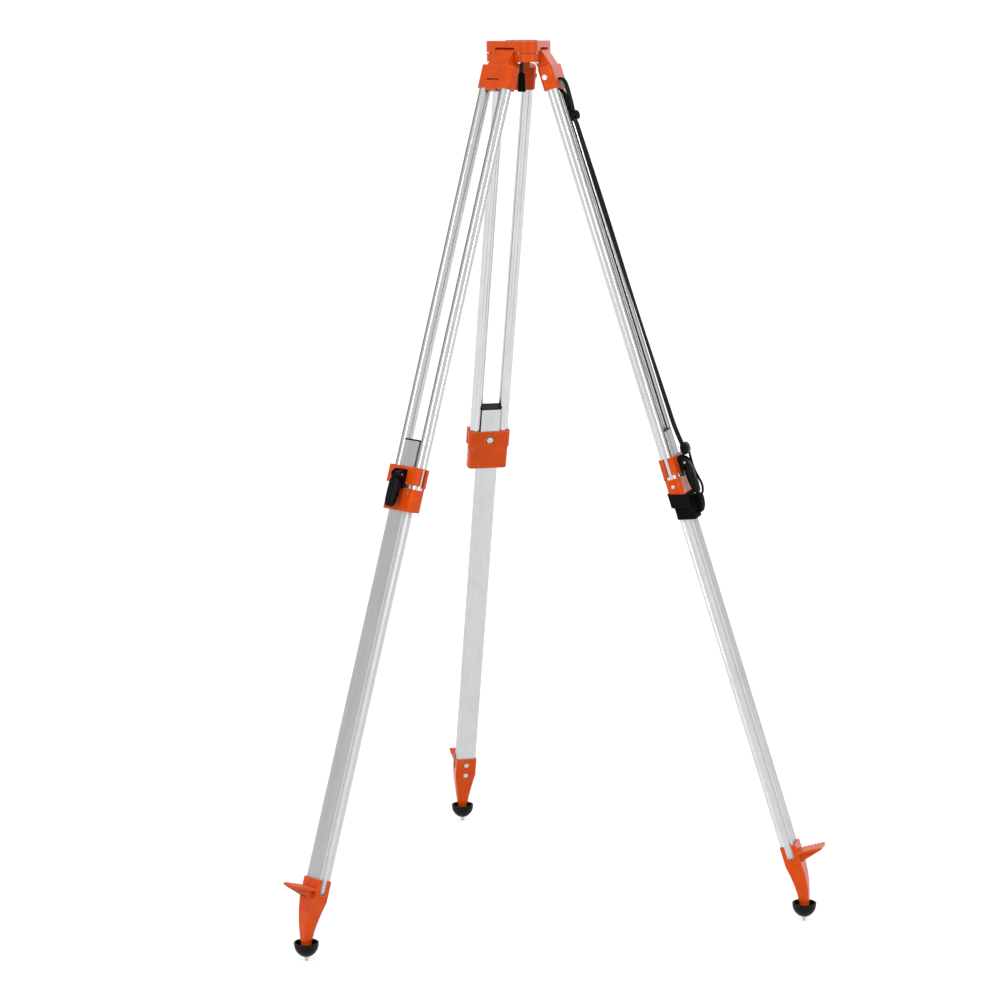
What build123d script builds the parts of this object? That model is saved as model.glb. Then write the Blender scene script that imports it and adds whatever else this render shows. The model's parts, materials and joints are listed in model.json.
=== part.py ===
from build123d import *
import math
import os

# A surveyor's tripod with two-stage aluminium legs, standing open on level ground.
# Frame: millimetres, +Z up, origin on the ground under the fixing screw, one leg towards +Y.
# Each leg is drawn in its own frame: origin on the hinge, X outward, Y tangential, Z up the leg.
# "off" is a distance outward from the leg's centre line and "down" a distance below its datum,
# the point of the centre line that stands LEG_DATUM_Z above the ground.

# ---- stance ----
HEAD_TOP_Z = 1650.0
LEG_TILT = 17.8
LEG_AZIMUTHS = {"rear": 90.0, "left": 210.0, "right": 330.0}
LEG_DATUM_Z = 1600.0
LEG_DATUM_R = 54.8
SPIKE_R_POS = 551.9

# ---- head ----
HEAD_CORNER_R = 47.7
HEAD_CORNER_FILLET = 19.7
HEAD_TOP_H = 21.0
HEAD_H = 38.0
SEAM_GAP = 1.6
SEAM_DEPTH = 4.0
LOWER_INSET = 0.6
BOSS_R = 30.0
BOSS_H = 1.5
HEAD_HOLE_R = 19.0
CAVITY_R = 21.5
POCKET_W = 52.0
POCKET_INNER_R = 23.8
POCKET_CEILING_Z = 1638.0
RECESS_CEILING_Z = 1646.0
HINGE_R = 33.0
HINGE_Z = 1628.5
HINGE_PIN_R = 3.0
HINGE_PIN_HALF = 31.0
RUNNING_GAP = 0.05

# ---- centring arm and fixing screw ----
ARM_AZIMUTH = 150.0
ARM_PIVOT_R = 44.0
ARM_Z0 = 1638.5
ARM_T = 5.0
ARM_HALF_W = 10.6
ARM_SLOT_HALF = 8.7
ARM_SLOT_TRAVEL = 4.5
ARM_PIVOT_SCREW_R = 3.0
CAGE_WALL = 1.8
CAGE_HALF_LENGTH = 8.5
CAGE_FLOOR_Z = 1620.8
CAGE_FLOOR_T = 3.0
STUD_R = 7.94
STUD_TOP_Z = 1648.5
FLANGE_R = 10.5
FLANGE_Z = 1624.0
FLANGE_T = 2.5
SLEEVE_R = 4.25
GRIP_TOP_Z = 1591.0
GRIP_BOTTOM_Z = 1556.0
GRIP_NECK_R = 6.2
GRIP_END_R = 7.9
GRIP_HOLLOW_R = 5.6

# ---- leg sections ----
TUBE_R = 11.0
TUBE_WALL = 1.4
TUBE_SPACING = 55.0
INNER_W = 38.0
INNER_D = 24.6
INNER_GROOVE_R = 12.3
INNER_WALL = 1.8
SLIDE_GAP = 0.4
LINER_R = 11.35

# ---- heights down the leg ----
BRACKET_TOP = -4.0
BRACKET_BOTTOM = 40.0
TUBE_TOP = 5.0
CAP_TOP = 704.0
LINER_BOTTOM = 780.0
BLOCK_TOP = 755.0
BLOCK_BOTTOM = 788.0
COLLAR_TOP = 795.0
COLLAR_BOTTOM = 838.0
COLLAR_INNER_BOTTOM = 835.0
TUBE_BOTTOM = 830.0
LEVER_PIVOT = 773.0
CHEEK_TOP = 1524.0
CHEEK_BOTTOM = 1563.0
INNER_BOTTOM = 1572.0

# ---- bracket ----
BRACKET_W = 81.0
BRACKET_OUT = 13.0
BRACKET_IN = -14.5
BRACKET_CORNER = 9.0
BRACKET_SCREW_OFF = -3.5
TONGUE_W = 50.0
TONGUE_EYE_R = 8.5
STRAP_SLOT_W = 33.0
STRAP_SLOT_TOP = 22.0
STRAP_SLOT_BOTTOM = 25.5

# ---- clamp ----
BLOCK_W = 84.0
COLLAR_W = 79.0
COLLAR_HALF_D = 14.2
COLLAR_CORNER = 9.0
ADJUSTER_DOWN = 772.0
ADJUSTER_OUT = -17.4
ADJUSTER_DEPTH = 3.0
BLOCK_EDGE = 4.0
PLATE_OUT = 15.3
LEVER_OUT = 27.0
LEVER_W = 22.0
EAR_INNER = 8.3
EAR_R = 7.6
LEVER_PIN_R = 2.0

# ---- foot ----
CHEEK_W = 43.0
CHEEK_OUT = 17.0
CHEEK_IN = -14.2
CHEEK_EDGE = 1.6
SIDE_SLOT_OFF = 1.2
SIDE_SLOT_HALF = 7.0
SIDE_SLOT_LENGTH = 28.5
PEDAL_DOWN = 1541.5
PEDAL_T = 4.0
PEDAL_REACH = 63.0
PEDAL_W = 40.0
NECK_R = 9.8
NECK_W = 21.2
BOOT_R = 23.0
BOOT_RIM_Z = 36.0
BOOT_BOTTOM_Z = 9.5
BOOT_WALL = 3.2
SPIKE_R = 5.0
SPIKE_TIP_R = 2.4

# ---- strap ----
WEB_W = 25.0
WEB_T = 1.8
TAIL_T = 1.6

TILT = math.radians(LEG_TILT)
DATUM_OUT = (LEG_DATUM_R - HINGE_R) * math.cos(TILT) + (LEG_DATUM_Z - HINGE_Z) * math.sin(TILT)
DATUM_UP = -(LEG_DATUM_R - HINGE_R) * math.sin(TILT) + (LEG_DATUM_Z - HINGE_Z) * math.cos(TILT)


# ---------------------------------------------------------------- helpers
def block(x0, x1, y0, y1, z0, z1):
    """A box between two corners."""
    return Pos((x0 + x1) / 2, (y0 + y1) / 2, (z0 + z1) / 2) * Box(abs(x1 - x0), abs(y1 - y0), abs(z1 - z0))


def post(radius, x, y, z0, z1):
    """An upright cylinder."""
    return Pos(x, y, (z0 + z1) / 2) * Cylinder(radius, abs(z1 - z0))


def rod_y(radius, x, z, y0, y1):
    """A cylinder along Y."""
    return Pos(x, (y0 + y1) / 2, z) * Rot(90, 0, 0) * Cylinder(radius, abs(y1 - y0))


def rod_x(radius, y, z, x0, x1):
    """A cylinder along X."""
    return Pos((x0 + x1) / 2, y, z) * Rot(0, 90, 0) * Cylinder(radius, abs(x1 - x0))


def slab_y(points, y0, y1):
    """A polygon in the XZ plane, given as (x, z) points, extruded from y0 to y1."""
    face = make_face(Polyline([(x, y0, z) for x, z in points], close=True))
    return extrude(face, amount=abs(y1 - y0), dir=(0, 1, 0))


def turned(points, x=0.0, y=0.0):
    """A solid of revolution about an upright axis, from (radius, z) points."""
    face = make_face(Polyline([(r, 0, z) for r, z in points], close=True))
    return Pos(x, y, 0) * revolve(face, Axis.Z)


def n_of(off):
    """Leg frame X of a point that lies off the leg's centre line."""
    return DATUM_OUT + off


def u_of(down):
    """Leg frame Z of a point that lies down the leg."""
    return DATUM_UP - down


def leg_block(off0, off1, t0, t1, down0, down1):
    """A box in the leg frame, from offsets and heights down the leg."""
    return block(n_of(off0), n_of(off1), t0, t1, u_of(down1), u_of(down0))


def leg_post(radius, off, t, down0, down1):
    """A cylinder along the leg."""
    return post(radius, n_of(off), t, u_of(down1), u_of(down0))


def leg_slab(points, t0, t1):
    """A side outline in the leg frame, given as (off, down) points, as wide as t0 to t1."""
    return slab_y([(n_of(off), u_of(down)) for off, down in points], t0, t1)


def leg_plane():
    """The leg frame's place for a leg at azimuth 0."""
    return Pos(HINGE_R, 0, HINGE_Z) * Rot(0, -LEG_TILT, 0)


def place(azimuth, shape):
    """From the leg frame to the tripod's frame."""
    return Rot(0, 0, azimuth) * leg_plane() * shape


def turn(azimuth, shape):
    """From azimuth 0 to a leg's azimuth, for pieces drawn plumb."""
    return Rot(0, 0, azimuth) * shape


def at_each_leg(shape):
    """Three copies of a shape, one at each leg's azimuth."""
    return fused([turn(azimuth, shape) for azimuth in LEG_AZIMUTHS.values()])


def fused(shapes):
    """The sum of a list of shapes."""
    total = shapes[0]
    for shape in shapes[1:]:
        total = total + shape
    return total


def both_tubes(radius, down0, down1):
    """Two cylinders on the centre lines of the upper tubes."""
    half = TUBE_SPACING / 2
    return leg_post(radius, 0, half, down0, down1) + leg_post(radius, 0, -half, down0, down1)


def ribbon(path, thickness, t0, t1):
    """A flat band along an open path of (off, down) points, as wide as t0 to t1."""
    outer = []
    inner = []
    last = len(path) - 1
    for i, (off, down) in enumerate(path):
        before = path[max(i - 1, 0)]
        after = path[min(i + 1, last)]
        here = (off, down)
        normals = []
        for a, b in ((before, here), (here, after)):
            length = math.dist(a, b)
            if length > 0:
                normals.append(((b[1] - a[1]) / length, -(b[0] - a[0]) / length))
        mean = (sum(n[0] for n in normals), sum(n[1] for n in normals))
        size = math.hypot(*mean)
        mean = (mean[0] / size, mean[1] / size)
        reach = thickness / 2 / (mean[0] * normals[0][0] + mean[1] * normals[0][1])
        outer.append((off + mean[0] * reach, down + mean[1] * reach))
        inner.append((off - mean[0] * reach, down - mean[1] * reach))
    points = outer + inner[::-1]
    return leg_slab(points, t0, t1)


def write(name, shape):
    export_step(shape, f"parts/{name}.step")


# ---------------------------------------------------------------- head
def head_outline(inset=0.0):
    """The rounded triangle of the head, with its corners between the legs."""
    triangle = RegularPolygon(radius=HEAD_CORNER_R, side_count=3, rotation=30)
    return offset(triangle, amount=HEAD_CORNER_FILLET - inset, kind=Kind.ARC)


def pockets(z0, z1):
    """The three pockets that the leg brackets hinge in."""
    far = HEAD_CORNER_R + HEAD_CORNER_FILLET
    return at_each_leg(block(POCKET_INNER_R, far, -POCKET_W / 2, POCKET_W / 2, z0, z1))


def hinge_pins():
    return at_each_leg(rod_y(HINGE_PIN_R, HINGE_R, HINGE_Z, -HINGE_PIN_HALF, HINGE_PIN_HALF))


def arm_at(shape):
    return Rot(0, 0, ARM_AZIMUTH) * shape


def head_screws():
    """Six screws, two under each corner, that draw the two castings together."""
    radial = 48.0
    side = 17.0
    shank_r = 2.0
    cap_r = 3.5
    cap_h = 2.6
    hex_r = 1.6
    hex_depth = 1.5
    bottom = HEAD_TOP_Z - HEAD_H
    screws = []
    for y in (-side, side):
        screw = post(shank_r, radial, y, bottom, POCKET_CEILING_Z)
        screw = screw + post(cap_r, radial, y, bottom - cap_h, bottom)
        screw = screw - Pos(radial, y, bottom - cap_h) * extrude(RegularPolygon(hex_r, 6), amount=hex_depth)
        screws += [turn(azimuth + 60.0, screw) for azimuth in LEG_AZIMUTHS.values()]
    return fused(screws)


def arm_pivot():
    """The shoulder screw that the centring arm swings on."""
    bottom = HEAD_TOP_Z - HEAD_H
    shank = post(ARM_PIVOT_SCREW_R, ARM_PIVOT_R, 0, bottom, ARM_Z0 + ARM_T + 0.2)
    cap = post(5.0, ARM_PIVOT_R, 0, bottom - 2.6, bottom)
    slot = block(ARM_PIVOT_R - 6, ARM_PIVOT_R + 6, -0.6, 0.6, bottom - 2.7, bottom - 1.4)
    return arm_at(shank + cap - slot)


def arm_recess():
    """The space under the top skin that the centring arm swings in."""
    z0, z1 = POCKET_CEILING_Z, RECESS_CEILING_Z
    wide, narrow = 17.0, 9.5
    wedge = Polygon((0, -wide), (ARM_PIVOT_R, -narrow), (ARM_PIVOT_R, narrow), (0, wide), align=None)
    recess = Pos(0, 0, z0) * extrude(wedge, amount=z1 - z0)
    return arm_at(recess + post(narrow, ARM_PIVOT_R, 0, z0, z1))


def head_top():
    seam = HEAD_TOP_Z - HEAD_TOP_H
    body = Pos(0, 0, seam) * extrude(head_outline(), amount=HEAD_TOP_H)
    body = chamfer(body.faces().sort_by(Axis.Z)[-1].edges(), 0.8)
    body = body + post(BOSS_R, 0, 0, HEAD_TOP_Z - 1, HEAD_TOP_Z + BOSS_H)
    body = body - post(HEAD_HOLE_R, 0, 0, seam - 1, HEAD_TOP_Z + BOSS_H + 1)
    body = body - post(CAVITY_R, 0, 0, seam - 1, RECESS_CEILING_Z)
    body = body - pockets(seam - 1, POCKET_CEILING_Z)
    body = body - arm_recess()
    return body - head_screws() - arm_pivot() - hinge_pins()


def head_lower():
    """The lower casting, whose core stands up inside the dark seam between the two."""
    bottom = HEAD_TOP_Z - HEAD_H
    height = HEAD_H - HEAD_TOP_H - SEAM_GAP
    body = Pos(0, 0, bottom) * extrude(head_outline(LOWER_INSET), amount=height)
    core = head_outline(LOWER_INSET + SEAM_DEPTH)
    body = body + Pos(0, 0, bottom) * extrude(core, amount=height + SEAM_GAP)
    body = body - post(CAVITY_R, 0, 0, bottom - 1, HEAD_TOP_Z)
    body = body - pockets(bottom - 1, HEAD_TOP_Z)
    return body - head_screws() - arm_pivot() - hinge_pins()


def centring_arm():
    """A slotted bar under the head's top skin, from its pivot to past the fixing screw."""
    eye_r = 7.0
    end_x = -(ARM_SLOT_HALF + ARM_SLOT_TRAVEL + 3.5) + ARM_HALF_W
    plan = Pos(end_x, 0) * Circle(ARM_HALF_W)
    plan += Polygon((end_x, -ARM_HALF_W), (16, -ARM_HALF_W), (ARM_PIVOT_R, -eye_r), (ARM_PIVOT_R, eye_r),
                    (16, ARM_HALF_W), (end_x, ARM_HALF_W), align=None)
    plan += Pos(ARM_PIVOT_R, 0) * Circle(eye_r)
    plan -= SlotCenterToCenter(2 * ARM_SLOT_TRAVEL, 2 * ARM_SLOT_HALF)
    plan -= Pos(ARM_PIVOT_R, 0) * Circle(ARM_PIVOT_SCREW_R + RUNNING_GAP)
    return arm_at(Pos(0, 0, ARM_Z0) * extrude(plan, amount=ARM_T))


def screw_cage():
    """The stirrup that slides along the arm and carries the fixing screw."""
    inner = ARM_HALF_W + 0.3
    outer = inner + CAGE_WALL
    lip_z = ARM_Z0 + ARM_T + 0.3
    top = lip_z + 1.6
    length = CAGE_HALF_LENGTH
    floor = block(-length, length, -outer, outer, CAGE_FLOOR_Z, CAGE_FLOOR_Z + CAGE_FLOOR_T)
    cage = floor - post(SLEEVE_R + 0.35, 0, 0, CAGE_FLOOR_Z - 1, CAGE_FLOOR_Z + CAGE_FLOOR_T + 1)
    for side in (-1, 1):
        cage = cage + block(-length, length, side * inner, side * outer, CAGE_FLOOR_Z, top)
        cage = cage + block(-length, length, side * (inner - 1.6), side * outer, lip_z, top)
    return arm_at(cage)


def thrust_washer():
    ring = Circle(FLANGE_R) - Circle(STUD_R + 0.8)
    return Pos(0, 0, FLANGE_Z + FLANGE_T + 0.05) * extrude(ring, amount=1.0)


def fixing_screw():
    """The 5/8 inch stud with its flange and the sleeve that hangs below the head."""
    shoulder = FLANGE_Z + FLANGE_T
    return turned([
        (0, GRIP_BOTTOM_Z + 14), (SLEEVE_R - 1, GRIP_BOTTOM_Z + 14), (SLEEVE_R - 1, GRIP_TOP_Z),
        (SLEEVE_R, GRIP_TOP_Z), (SLEEVE_R, FLANGE_Z), (FLANGE_R, FLANGE_Z), (FLANGE_R, shoulder),
        (STUD_R, shoulder), (STUD_R, STUD_TOP_Z - 1.2), (STUD_R - 1.2, STUD_TOP_Z), (0, STUD_TOP_Z),
    ])


def screw_grip():
    """The flared grip, hollow at its lower end for the plumb hook."""
    height = GRIP_TOP_Z - GRIP_BOTTOM_Z
    steps = 6
    flare = []
    for i in range(steps + 1):
        share = i / steps
        radius = GRIP_NECK_R + (GRIP_END_R - GRIP_NECK_R) * share ** 0.7
        flare.append((radius, GRIP_TOP_Z - 1.5 - (height - 3.5) * share))
    profile = [(SLEEVE_R - 1, GRIP_TOP_Z), (GRIP_NECK_R - 1, GRIP_TOP_Z)] + flare
    profile += [(GRIP_END_R - 1, GRIP_BOTTOM_Z), (GRIP_HOLLOW_R, GRIP_BOTTOM_Z),
                (GRIP_HOLLOW_R, GRIP_BOTTOM_Z + 12), (SLEEVE_R - 1, GRIP_BOTTOM_Z + 12)]
    return turned(profile)


def plumb_hook():
    """A steel eye inside the grip's lower end, for a plumb line."""
    eye_z = GRIP_BOTTOM_Z + 5.0
    eye = Pos(0, 0, eye_z) * Rot(90, 0, 0) * Torus(2.6, 0.8)
    return eye + post(0.9, 0, 0, eye_z + 2.4, GRIP_BOTTOM_Z + 14)


# ---------------------------------------------------------------- upper leg
def leg_screws():
    """Screws of one upper leg: bracket side, collar side, two plate links and the rear adjuster."""
    half = BRACKET_W / 2
    bracket_down = 15.6
    bracket_x, bracket_z = n_of(BRACKET_SCREW_OFF), u_of(bracket_down)
    bracket_screw = rod_y(2.0, bracket_x, bracket_z, -half, -30)
    bracket_screw = bracket_screw + rod_y(5.0, bracket_x, bracket_z, -half - 2.2, -half)
    side_half = COLLAR_W / 2
    collar_down = 809.0
    collar_screw = rod_y(1.6, n_of(0), u_of(collar_down), -side_half, -34)
    collar_screw = collar_screw + rod_y(3.4, n_of(0), u_of(collar_down), -side_half - 1.6, -side_half)
    link_off = 12.6
    link_t = 22.6
    links = [leg_post(1.7, link_off, t, 768, 806) for t in (-link_t, link_t)]
    return fused([bracket_screw, collar_screw, adjuster_screw()] + links)


def adjuster_screw():
    """The socket screw in the rear plate that sets the clamp's grip."""
    axis_z = u_of(ADJUSTER_DOWN)
    back = ADJUSTER_OUT + 0.4
    seat = ADJUSTER_OUT + ADJUSTER_DEPTH
    head = rod_x(6.2, 0, axis_z, n_of(back), n_of(seat))
    head = head - Pos(n_of(back), 0, axis_z) * Rot(0, 90, 0) * extrude(RegularPolygon(3.4, 6), amount=1.2)
    return head + rod_x(3.0, 0, axis_z, n_of(seat), n_of(-13.2))


def bracket(screws):
    """The casting that hinges in the head and holds the two upper tubes."""
    out, inner = n_of(BRACKET_OUT), n_of(BRACKET_IN)
    top, bottom = u_of(BRACKET_TOP), u_of(BRACKET_BOTTOM)
    body = block(inner, out, -BRACKET_W / 2, BRACKET_W / 2, bottom, top)
    body = fillet(body.edges().filter_by(Axis.Z), BRACKET_CORNER)
    tongue = slab_y([(8.0, 5.4), (13.6, -0.2), (22.6, top), (22.6, top - 1), (inner, top - 1), (inner, top),
                     (-7.6, -3.8)], -TONGUE_W / 2, TONGUE_W / 2)
    body = body + tongue + rod_y(TONGUE_EYE_R, 0, 0, -TONGUE_W / 2, TONGUE_W / 2)
    body = body - rod_y(HINGE_PIN_R + RUNNING_GAP, 0, 0, -TONGUE_W, TONGUE_W)
    body = body - both_tubes(TUBE_R + 0.02, TUBE_TOP, BRACKET_BOTTOM + 5)
    body = body - leg_block(-8.0, 3.0, -13.0, 13.0, 12.0, BRACKET_BOTTOM + 1)
    half_slot = STRAP_SLOT_W / 2
    body = body - leg_block(6.0, BRACKET_OUT + 1, -half_slot, half_slot, STRAP_SLOT_TOP, STRAP_SLOT_BOTTOM)
    body = body - leg_block(6.0, 10.0, -half_slot, half_slot, STRAP_SLOT_TOP, BRACKET_BOTTOM + 1)
    lug = leg_block(10.0, BRACKET_OUT, -13.0, 13.0, BRACKET_BOTTOM - 1, BRACKET_BOTTOM + 4)
    return body + lug - screws


def upper_tubes(screws):
    bore = both_tubes(TUBE_R - TUBE_WALL, TUBE_TOP - 1, TUBE_BOTTOM + 1)
    return both_tubes(TUBE_R, TUBE_TOP, TUBE_BOTTOM) - bore - screws


def inner_clearance(down0, down1):
    """The opening that the inner leg slides through."""
    half_d = INNER_D / 2 + SLIDE_GAP
    half_w = INNER_W / 2 + SLIDE_GAP
    return leg_block(-half_d, half_d, -half_w, half_w, down0, down1)


def clamp_body(screws):
    """The lower collar and the rear plate, one casting on the ends of the tubes."""
    half_w = COLLAR_W / 2
    half_plate = BLOCK_W / 2
    collar = leg_block(-COLLAR_HALF_D, COLLAR_HALF_D, -half_w, half_w, COLLAR_TOP, COLLAR_BOTTOM)
    collar = fillet(collar.edges().filter_by(Axis.Z), COLLAR_CORNER)
    back = -COLLAR_HALF_D - 1
    below = COLLAR_BOTTOM + 5
    slope = leg_slab([(back, COLLAR_INNER_BOTTOM), (COLLAR_HALF_D, COLLAR_BOTTOM), (COLLAR_HALF_D, below),
                      (back, below)], -half_w - 1, half_w + 1)
    plate = leg_block(-COLLAR_HALF_D, -BLOCK_EDGE, -half_plate, half_plate, BLOCK_TOP, BLOCK_BOTTOM + 2)
    plate = fillet(plate.edges().filter_by(Axis.Z).group_by(Axis.X)[0], COLLAR_CORNER)
    neck = leg_block(-COLLAR_HALF_D, -BLOCK_EDGE, -half_w + 6, half_w - 6, BLOCK_BOTTOM, COLLAR_TOP + 1)
    axis_z = u_of(ADJUSTER_DOWN)
    boss = rod_x(10.4, 0, axis_z, n_of(ADJUSTER_OUT), n_of(-COLLAR_HALF_D + 0.2))
    body = collar - slope + plate + neck + boss
    body = body - inner_clearance(BLOCK_TOP - 5, COLLAR_BOTTOM + 5)
    body = body - both_tubes(TUBE_R + 0.02, BLOCK_TOP - 5, TUBE_BOTTOM)
    body = body - rod_x(8.6, 0, axis_z, n_of(ADJUSTER_OUT - 1), n_of(ADJUSTER_OUT + ADJUSTER_DEPTH))
    return body - screws


def clamp_plate(screws):
    """The front plate, with the window that the pressure pad works through."""
    plate = leg_block(BLOCK_EDGE, PLATE_OUT, -BLOCK_W / 2, BLOCK_W / 2, BLOCK_TOP, BLOCK_BOTTOM)
    plate = fillet(plate.edges().filter_by(Axis.Z), 3.0)
    plate = plate - inner_clearance(BLOCK_TOP - 5, BLOCK_BOTTOM + 5)
    plate = plate - both_tubes(TUBE_R + 0.05, BLOCK_TOP - 5, BLOCK_BOTTOM + 5)
    plate = plate - leg_block(10, PLATE_OUT + 1, -6.2, 6.2, LEVER_PIVOT - 7.2, LEVER_PIVOT + 7.2)
    return plate - screws


def clamp_pad():
    """The block that the lever's cam presses against the inner leg."""
    return leg_block(INNER_D / 2 + 0.35, 20.3, -6.0, 6.0, LEVER_PIVOT - 7, LEVER_PIVOT + 7)


def lever_base():
    """The black bearing block on the front plate, with two ears for the lever's pin."""
    half = LEVER_W / 2
    base = leg_block(PLATE_OUT, 18.2, -half - 0.5, half + 0.5, 761, 785)
    base = fillet(base.edges().filter_by(Axis.X), 4.0)
    ear_top, ear_bottom = LEVER_PIVOT - EAR_R, LEVER_PIVOT + EAR_R
    for sign in (-1, 1):
        ear = rod_y(EAR_R, n_of(LEVER_OUT), u_of(LEVER_PIVOT), sign * EAR_INNER, sign * half)
        base = base + ear + leg_block(17.5, LEVER_OUT, sign * EAR_INNER, sign * half, ear_top, ear_bottom)
    base = base - leg_block(PLATE_OUT - 1, 19, -6.2, 6.2, LEVER_PIVOT - 7.2, LEVER_PIVOT + 7.2)
    return base - rod_y(LEVER_PIN_R, n_of(LEVER_OUT), u_of(LEVER_PIVOT), -half - 2, half + 2)


def lever():
    """The clamp lever: a cam eye between the ears and a handle that hangs over the collar."""
    half = LEVER_W / 2
    eye_half = EAR_INNER - 0.3
    x, z = n_of(LEVER_OUT), u_of(LEVER_PIVOT)
    eye = rod_y(6.2, x, z, -eye_half, eye_half)
    neck = leg_slab([(22.5, 777), (33.0, 771), (37.0, 784), (24.5, 784)], -eye_half, eye_half)
    handle = leg_slab([(24.2, 781.5), (36.0, 780.5), (38.0, 800), (37.4, 829), (35.0, 835), (29.5, 835),
                       (26.6, 824)], -half, half)
    handle = fillet(handle.edges().filter_by(Axis.Y), 1.2)
    body = eye + neck + handle
    return body - rod_y(LEVER_PIN_R + RUNNING_GAP, x, z, -half, half)


def lever_pin():
    half = LEVER_W / 2 + 0.6
    return rod_y(LEVER_PIN_R, n_of(LEVER_OUT), u_of(LEVER_PIVOT), -half, half)


# ---------------------------------------------------------------- lower leg
def inner_profile(groove_r):
    profile = Rectangle(INNER_D, INNER_W)
    for sign in (-1, 1):
        profile -= Pos(0, sign * TUBE_SPACING / 2) * Circle(groove_r)
    return profile


def leg_extrude(profile, down0, down1):
    return Pos(n_of(0), 0, u_of(down1)) * extrude(profile, amount=down1 - down0)


def inner_leg():
    """A hollow extrusion whose sides are grooved to run between the tubes."""
    groove_bottom = TUBE_SPACING / 2 - INNER_GROOVE_R
    void = Rectangle(INNER_D - 2 * INNER_WALL, 2 * (groove_bottom - INNER_WALL))
    return leg_extrude(inner_profile(INNER_GROOVE_R) - void, CAP_TOP + 3, INNER_BOTTOM)


def inner_cap():
    """The black end cap, its plug and the two liners that run in the grooves."""
    groove_bottom = TUBE_SPACING / 2 - INNER_GROOVE_R
    plug = Rectangle(INNER_D - 2 * INNER_WALL - 0.1, 2 * (groove_bottom - INNER_WALL) - 0.1)
    cap = leg_extrude(inner_profile(LINER_R), CAP_TOP, CAP_TOP + 3)
    cap = cap + leg_extrude(plug, CAP_TOP + 2, CAP_TOP + 13)
    liner = inner_profile(LINER_R) - inner_profile(INNER_GROOVE_R - 0.02)
    return cap + leg_extrude(liner, CAP_TOP + 2, LINER_BOTTOM)


def foot_socket():
    """The four-walled head of the foot, with a U slot in each narrow side."""
    socket = leg_block(CHEEK_IN, CHEEK_OUT, -CHEEK_W / 2, CHEEK_W / 2, CHEEK_TOP, CHEEK_BOTTOM)
    return fillet(socket.edges().filter_by(Axis.Z), CHEEK_EDGE)


def pedal():
    """The tread plate for pushing the foot into the ground, with its ribs and ridges."""
    half = PEDAL_W / 2
    tread = leg_block(CHEEK_OUT - 3, PEDAL_REACH, -half, half, PEDAL_DOWN, PEDAL_DOWN + PEDAL_T)
    ridges = 6
    pitch = (PEDAL_REACH - CHEEK_OUT - 6) / ridges
    for i in range(ridges):
        start = CHEEK_OUT + 5 + i * pitch
        ridge = leg_slab([(start, PEDAL_DOWN), (start + 3.4, PEDAL_DOWN), (start + 2.6, PEDAL_DOWN - 1.4),
                          (start + 0.8, PEDAL_DOWN - 1.4)], -half, half)
        tread = tread + ridge
    rib_t = 2.2
    rib_bottom = PEDAL_DOWN + 20
    under = PEDAL_DOWN + PEDAL_T - 1
    for t in (-12.0, 0.0, 12.0):
        rib = leg_slab([(CHEEK_OUT - 3, under), (PEDAL_REACH, under), (PEDAL_REACH, under + 2),
                        (CHEEK_OUT, rib_bottom), (CHEEK_OUT - 3, rib_bottom)], t - rib_t / 2, t + rib_t / 2)
        tread = tread + rib
    return tread


def foot_sections():
    """Sections of the foot from its socket to its neck, as it bends from the leg to plumb."""
    middle = (CHEEK_OUT + CHEEK_IN) / 2
    top_r = HINGE_R + n_of(middle) * math.cos(TILT) - u_of(CHEEK_BOTTOM) * math.sin(TILT)
    top_z = HINGE_Z + n_of(middle) * math.sin(TILT) + u_of(CHEEK_BOTTOM) * math.cos(TILT)
    waists = [
        (SPIKE_R_POS - 10.6, 92.0, 12.0, 29.0, 38.0, 5.0),
        (SPIKE_R_POS - 5.6, 74.0, 7.5, 26.4, 32.0, 6.5),
        (SPIKE_R_POS - 2.0, 56.0, 3.0, 22.6, 26.4, 7.5),
    ]
    cheek_depth = CHEEK_OUT - CHEEK_IN
    sections = [section_plane(top_r, top_z, LEG_TILT) * RectangleRounded(cheek_depth, CHEEK_W, CHEEK_EDGE)]
    for r, z, lean, depth, width, corner in waists:
        sections.append(section_plane(r, z, lean) * RectangleRounded(depth, width, corner))
    neck = RectangleRounded(2 * NECK_R, NECK_W, NECK_R - 1.4)
    sections.append(section_plane(SPIKE_R_POS, 38.0, 0.0) * neck)
    return sections


def section_plane(r, z, lean):
    """A plane across the foot at a radius and height, leaning with the leg by some degrees."""
    angle = math.radians(lean)
    across = (math.cos(angle), 0, math.sin(angle))
    return Plane(origin=(r, 0, z), x_dir=across, z_dir=(-math.sin(angle), 0, math.cos(angle)))


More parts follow.
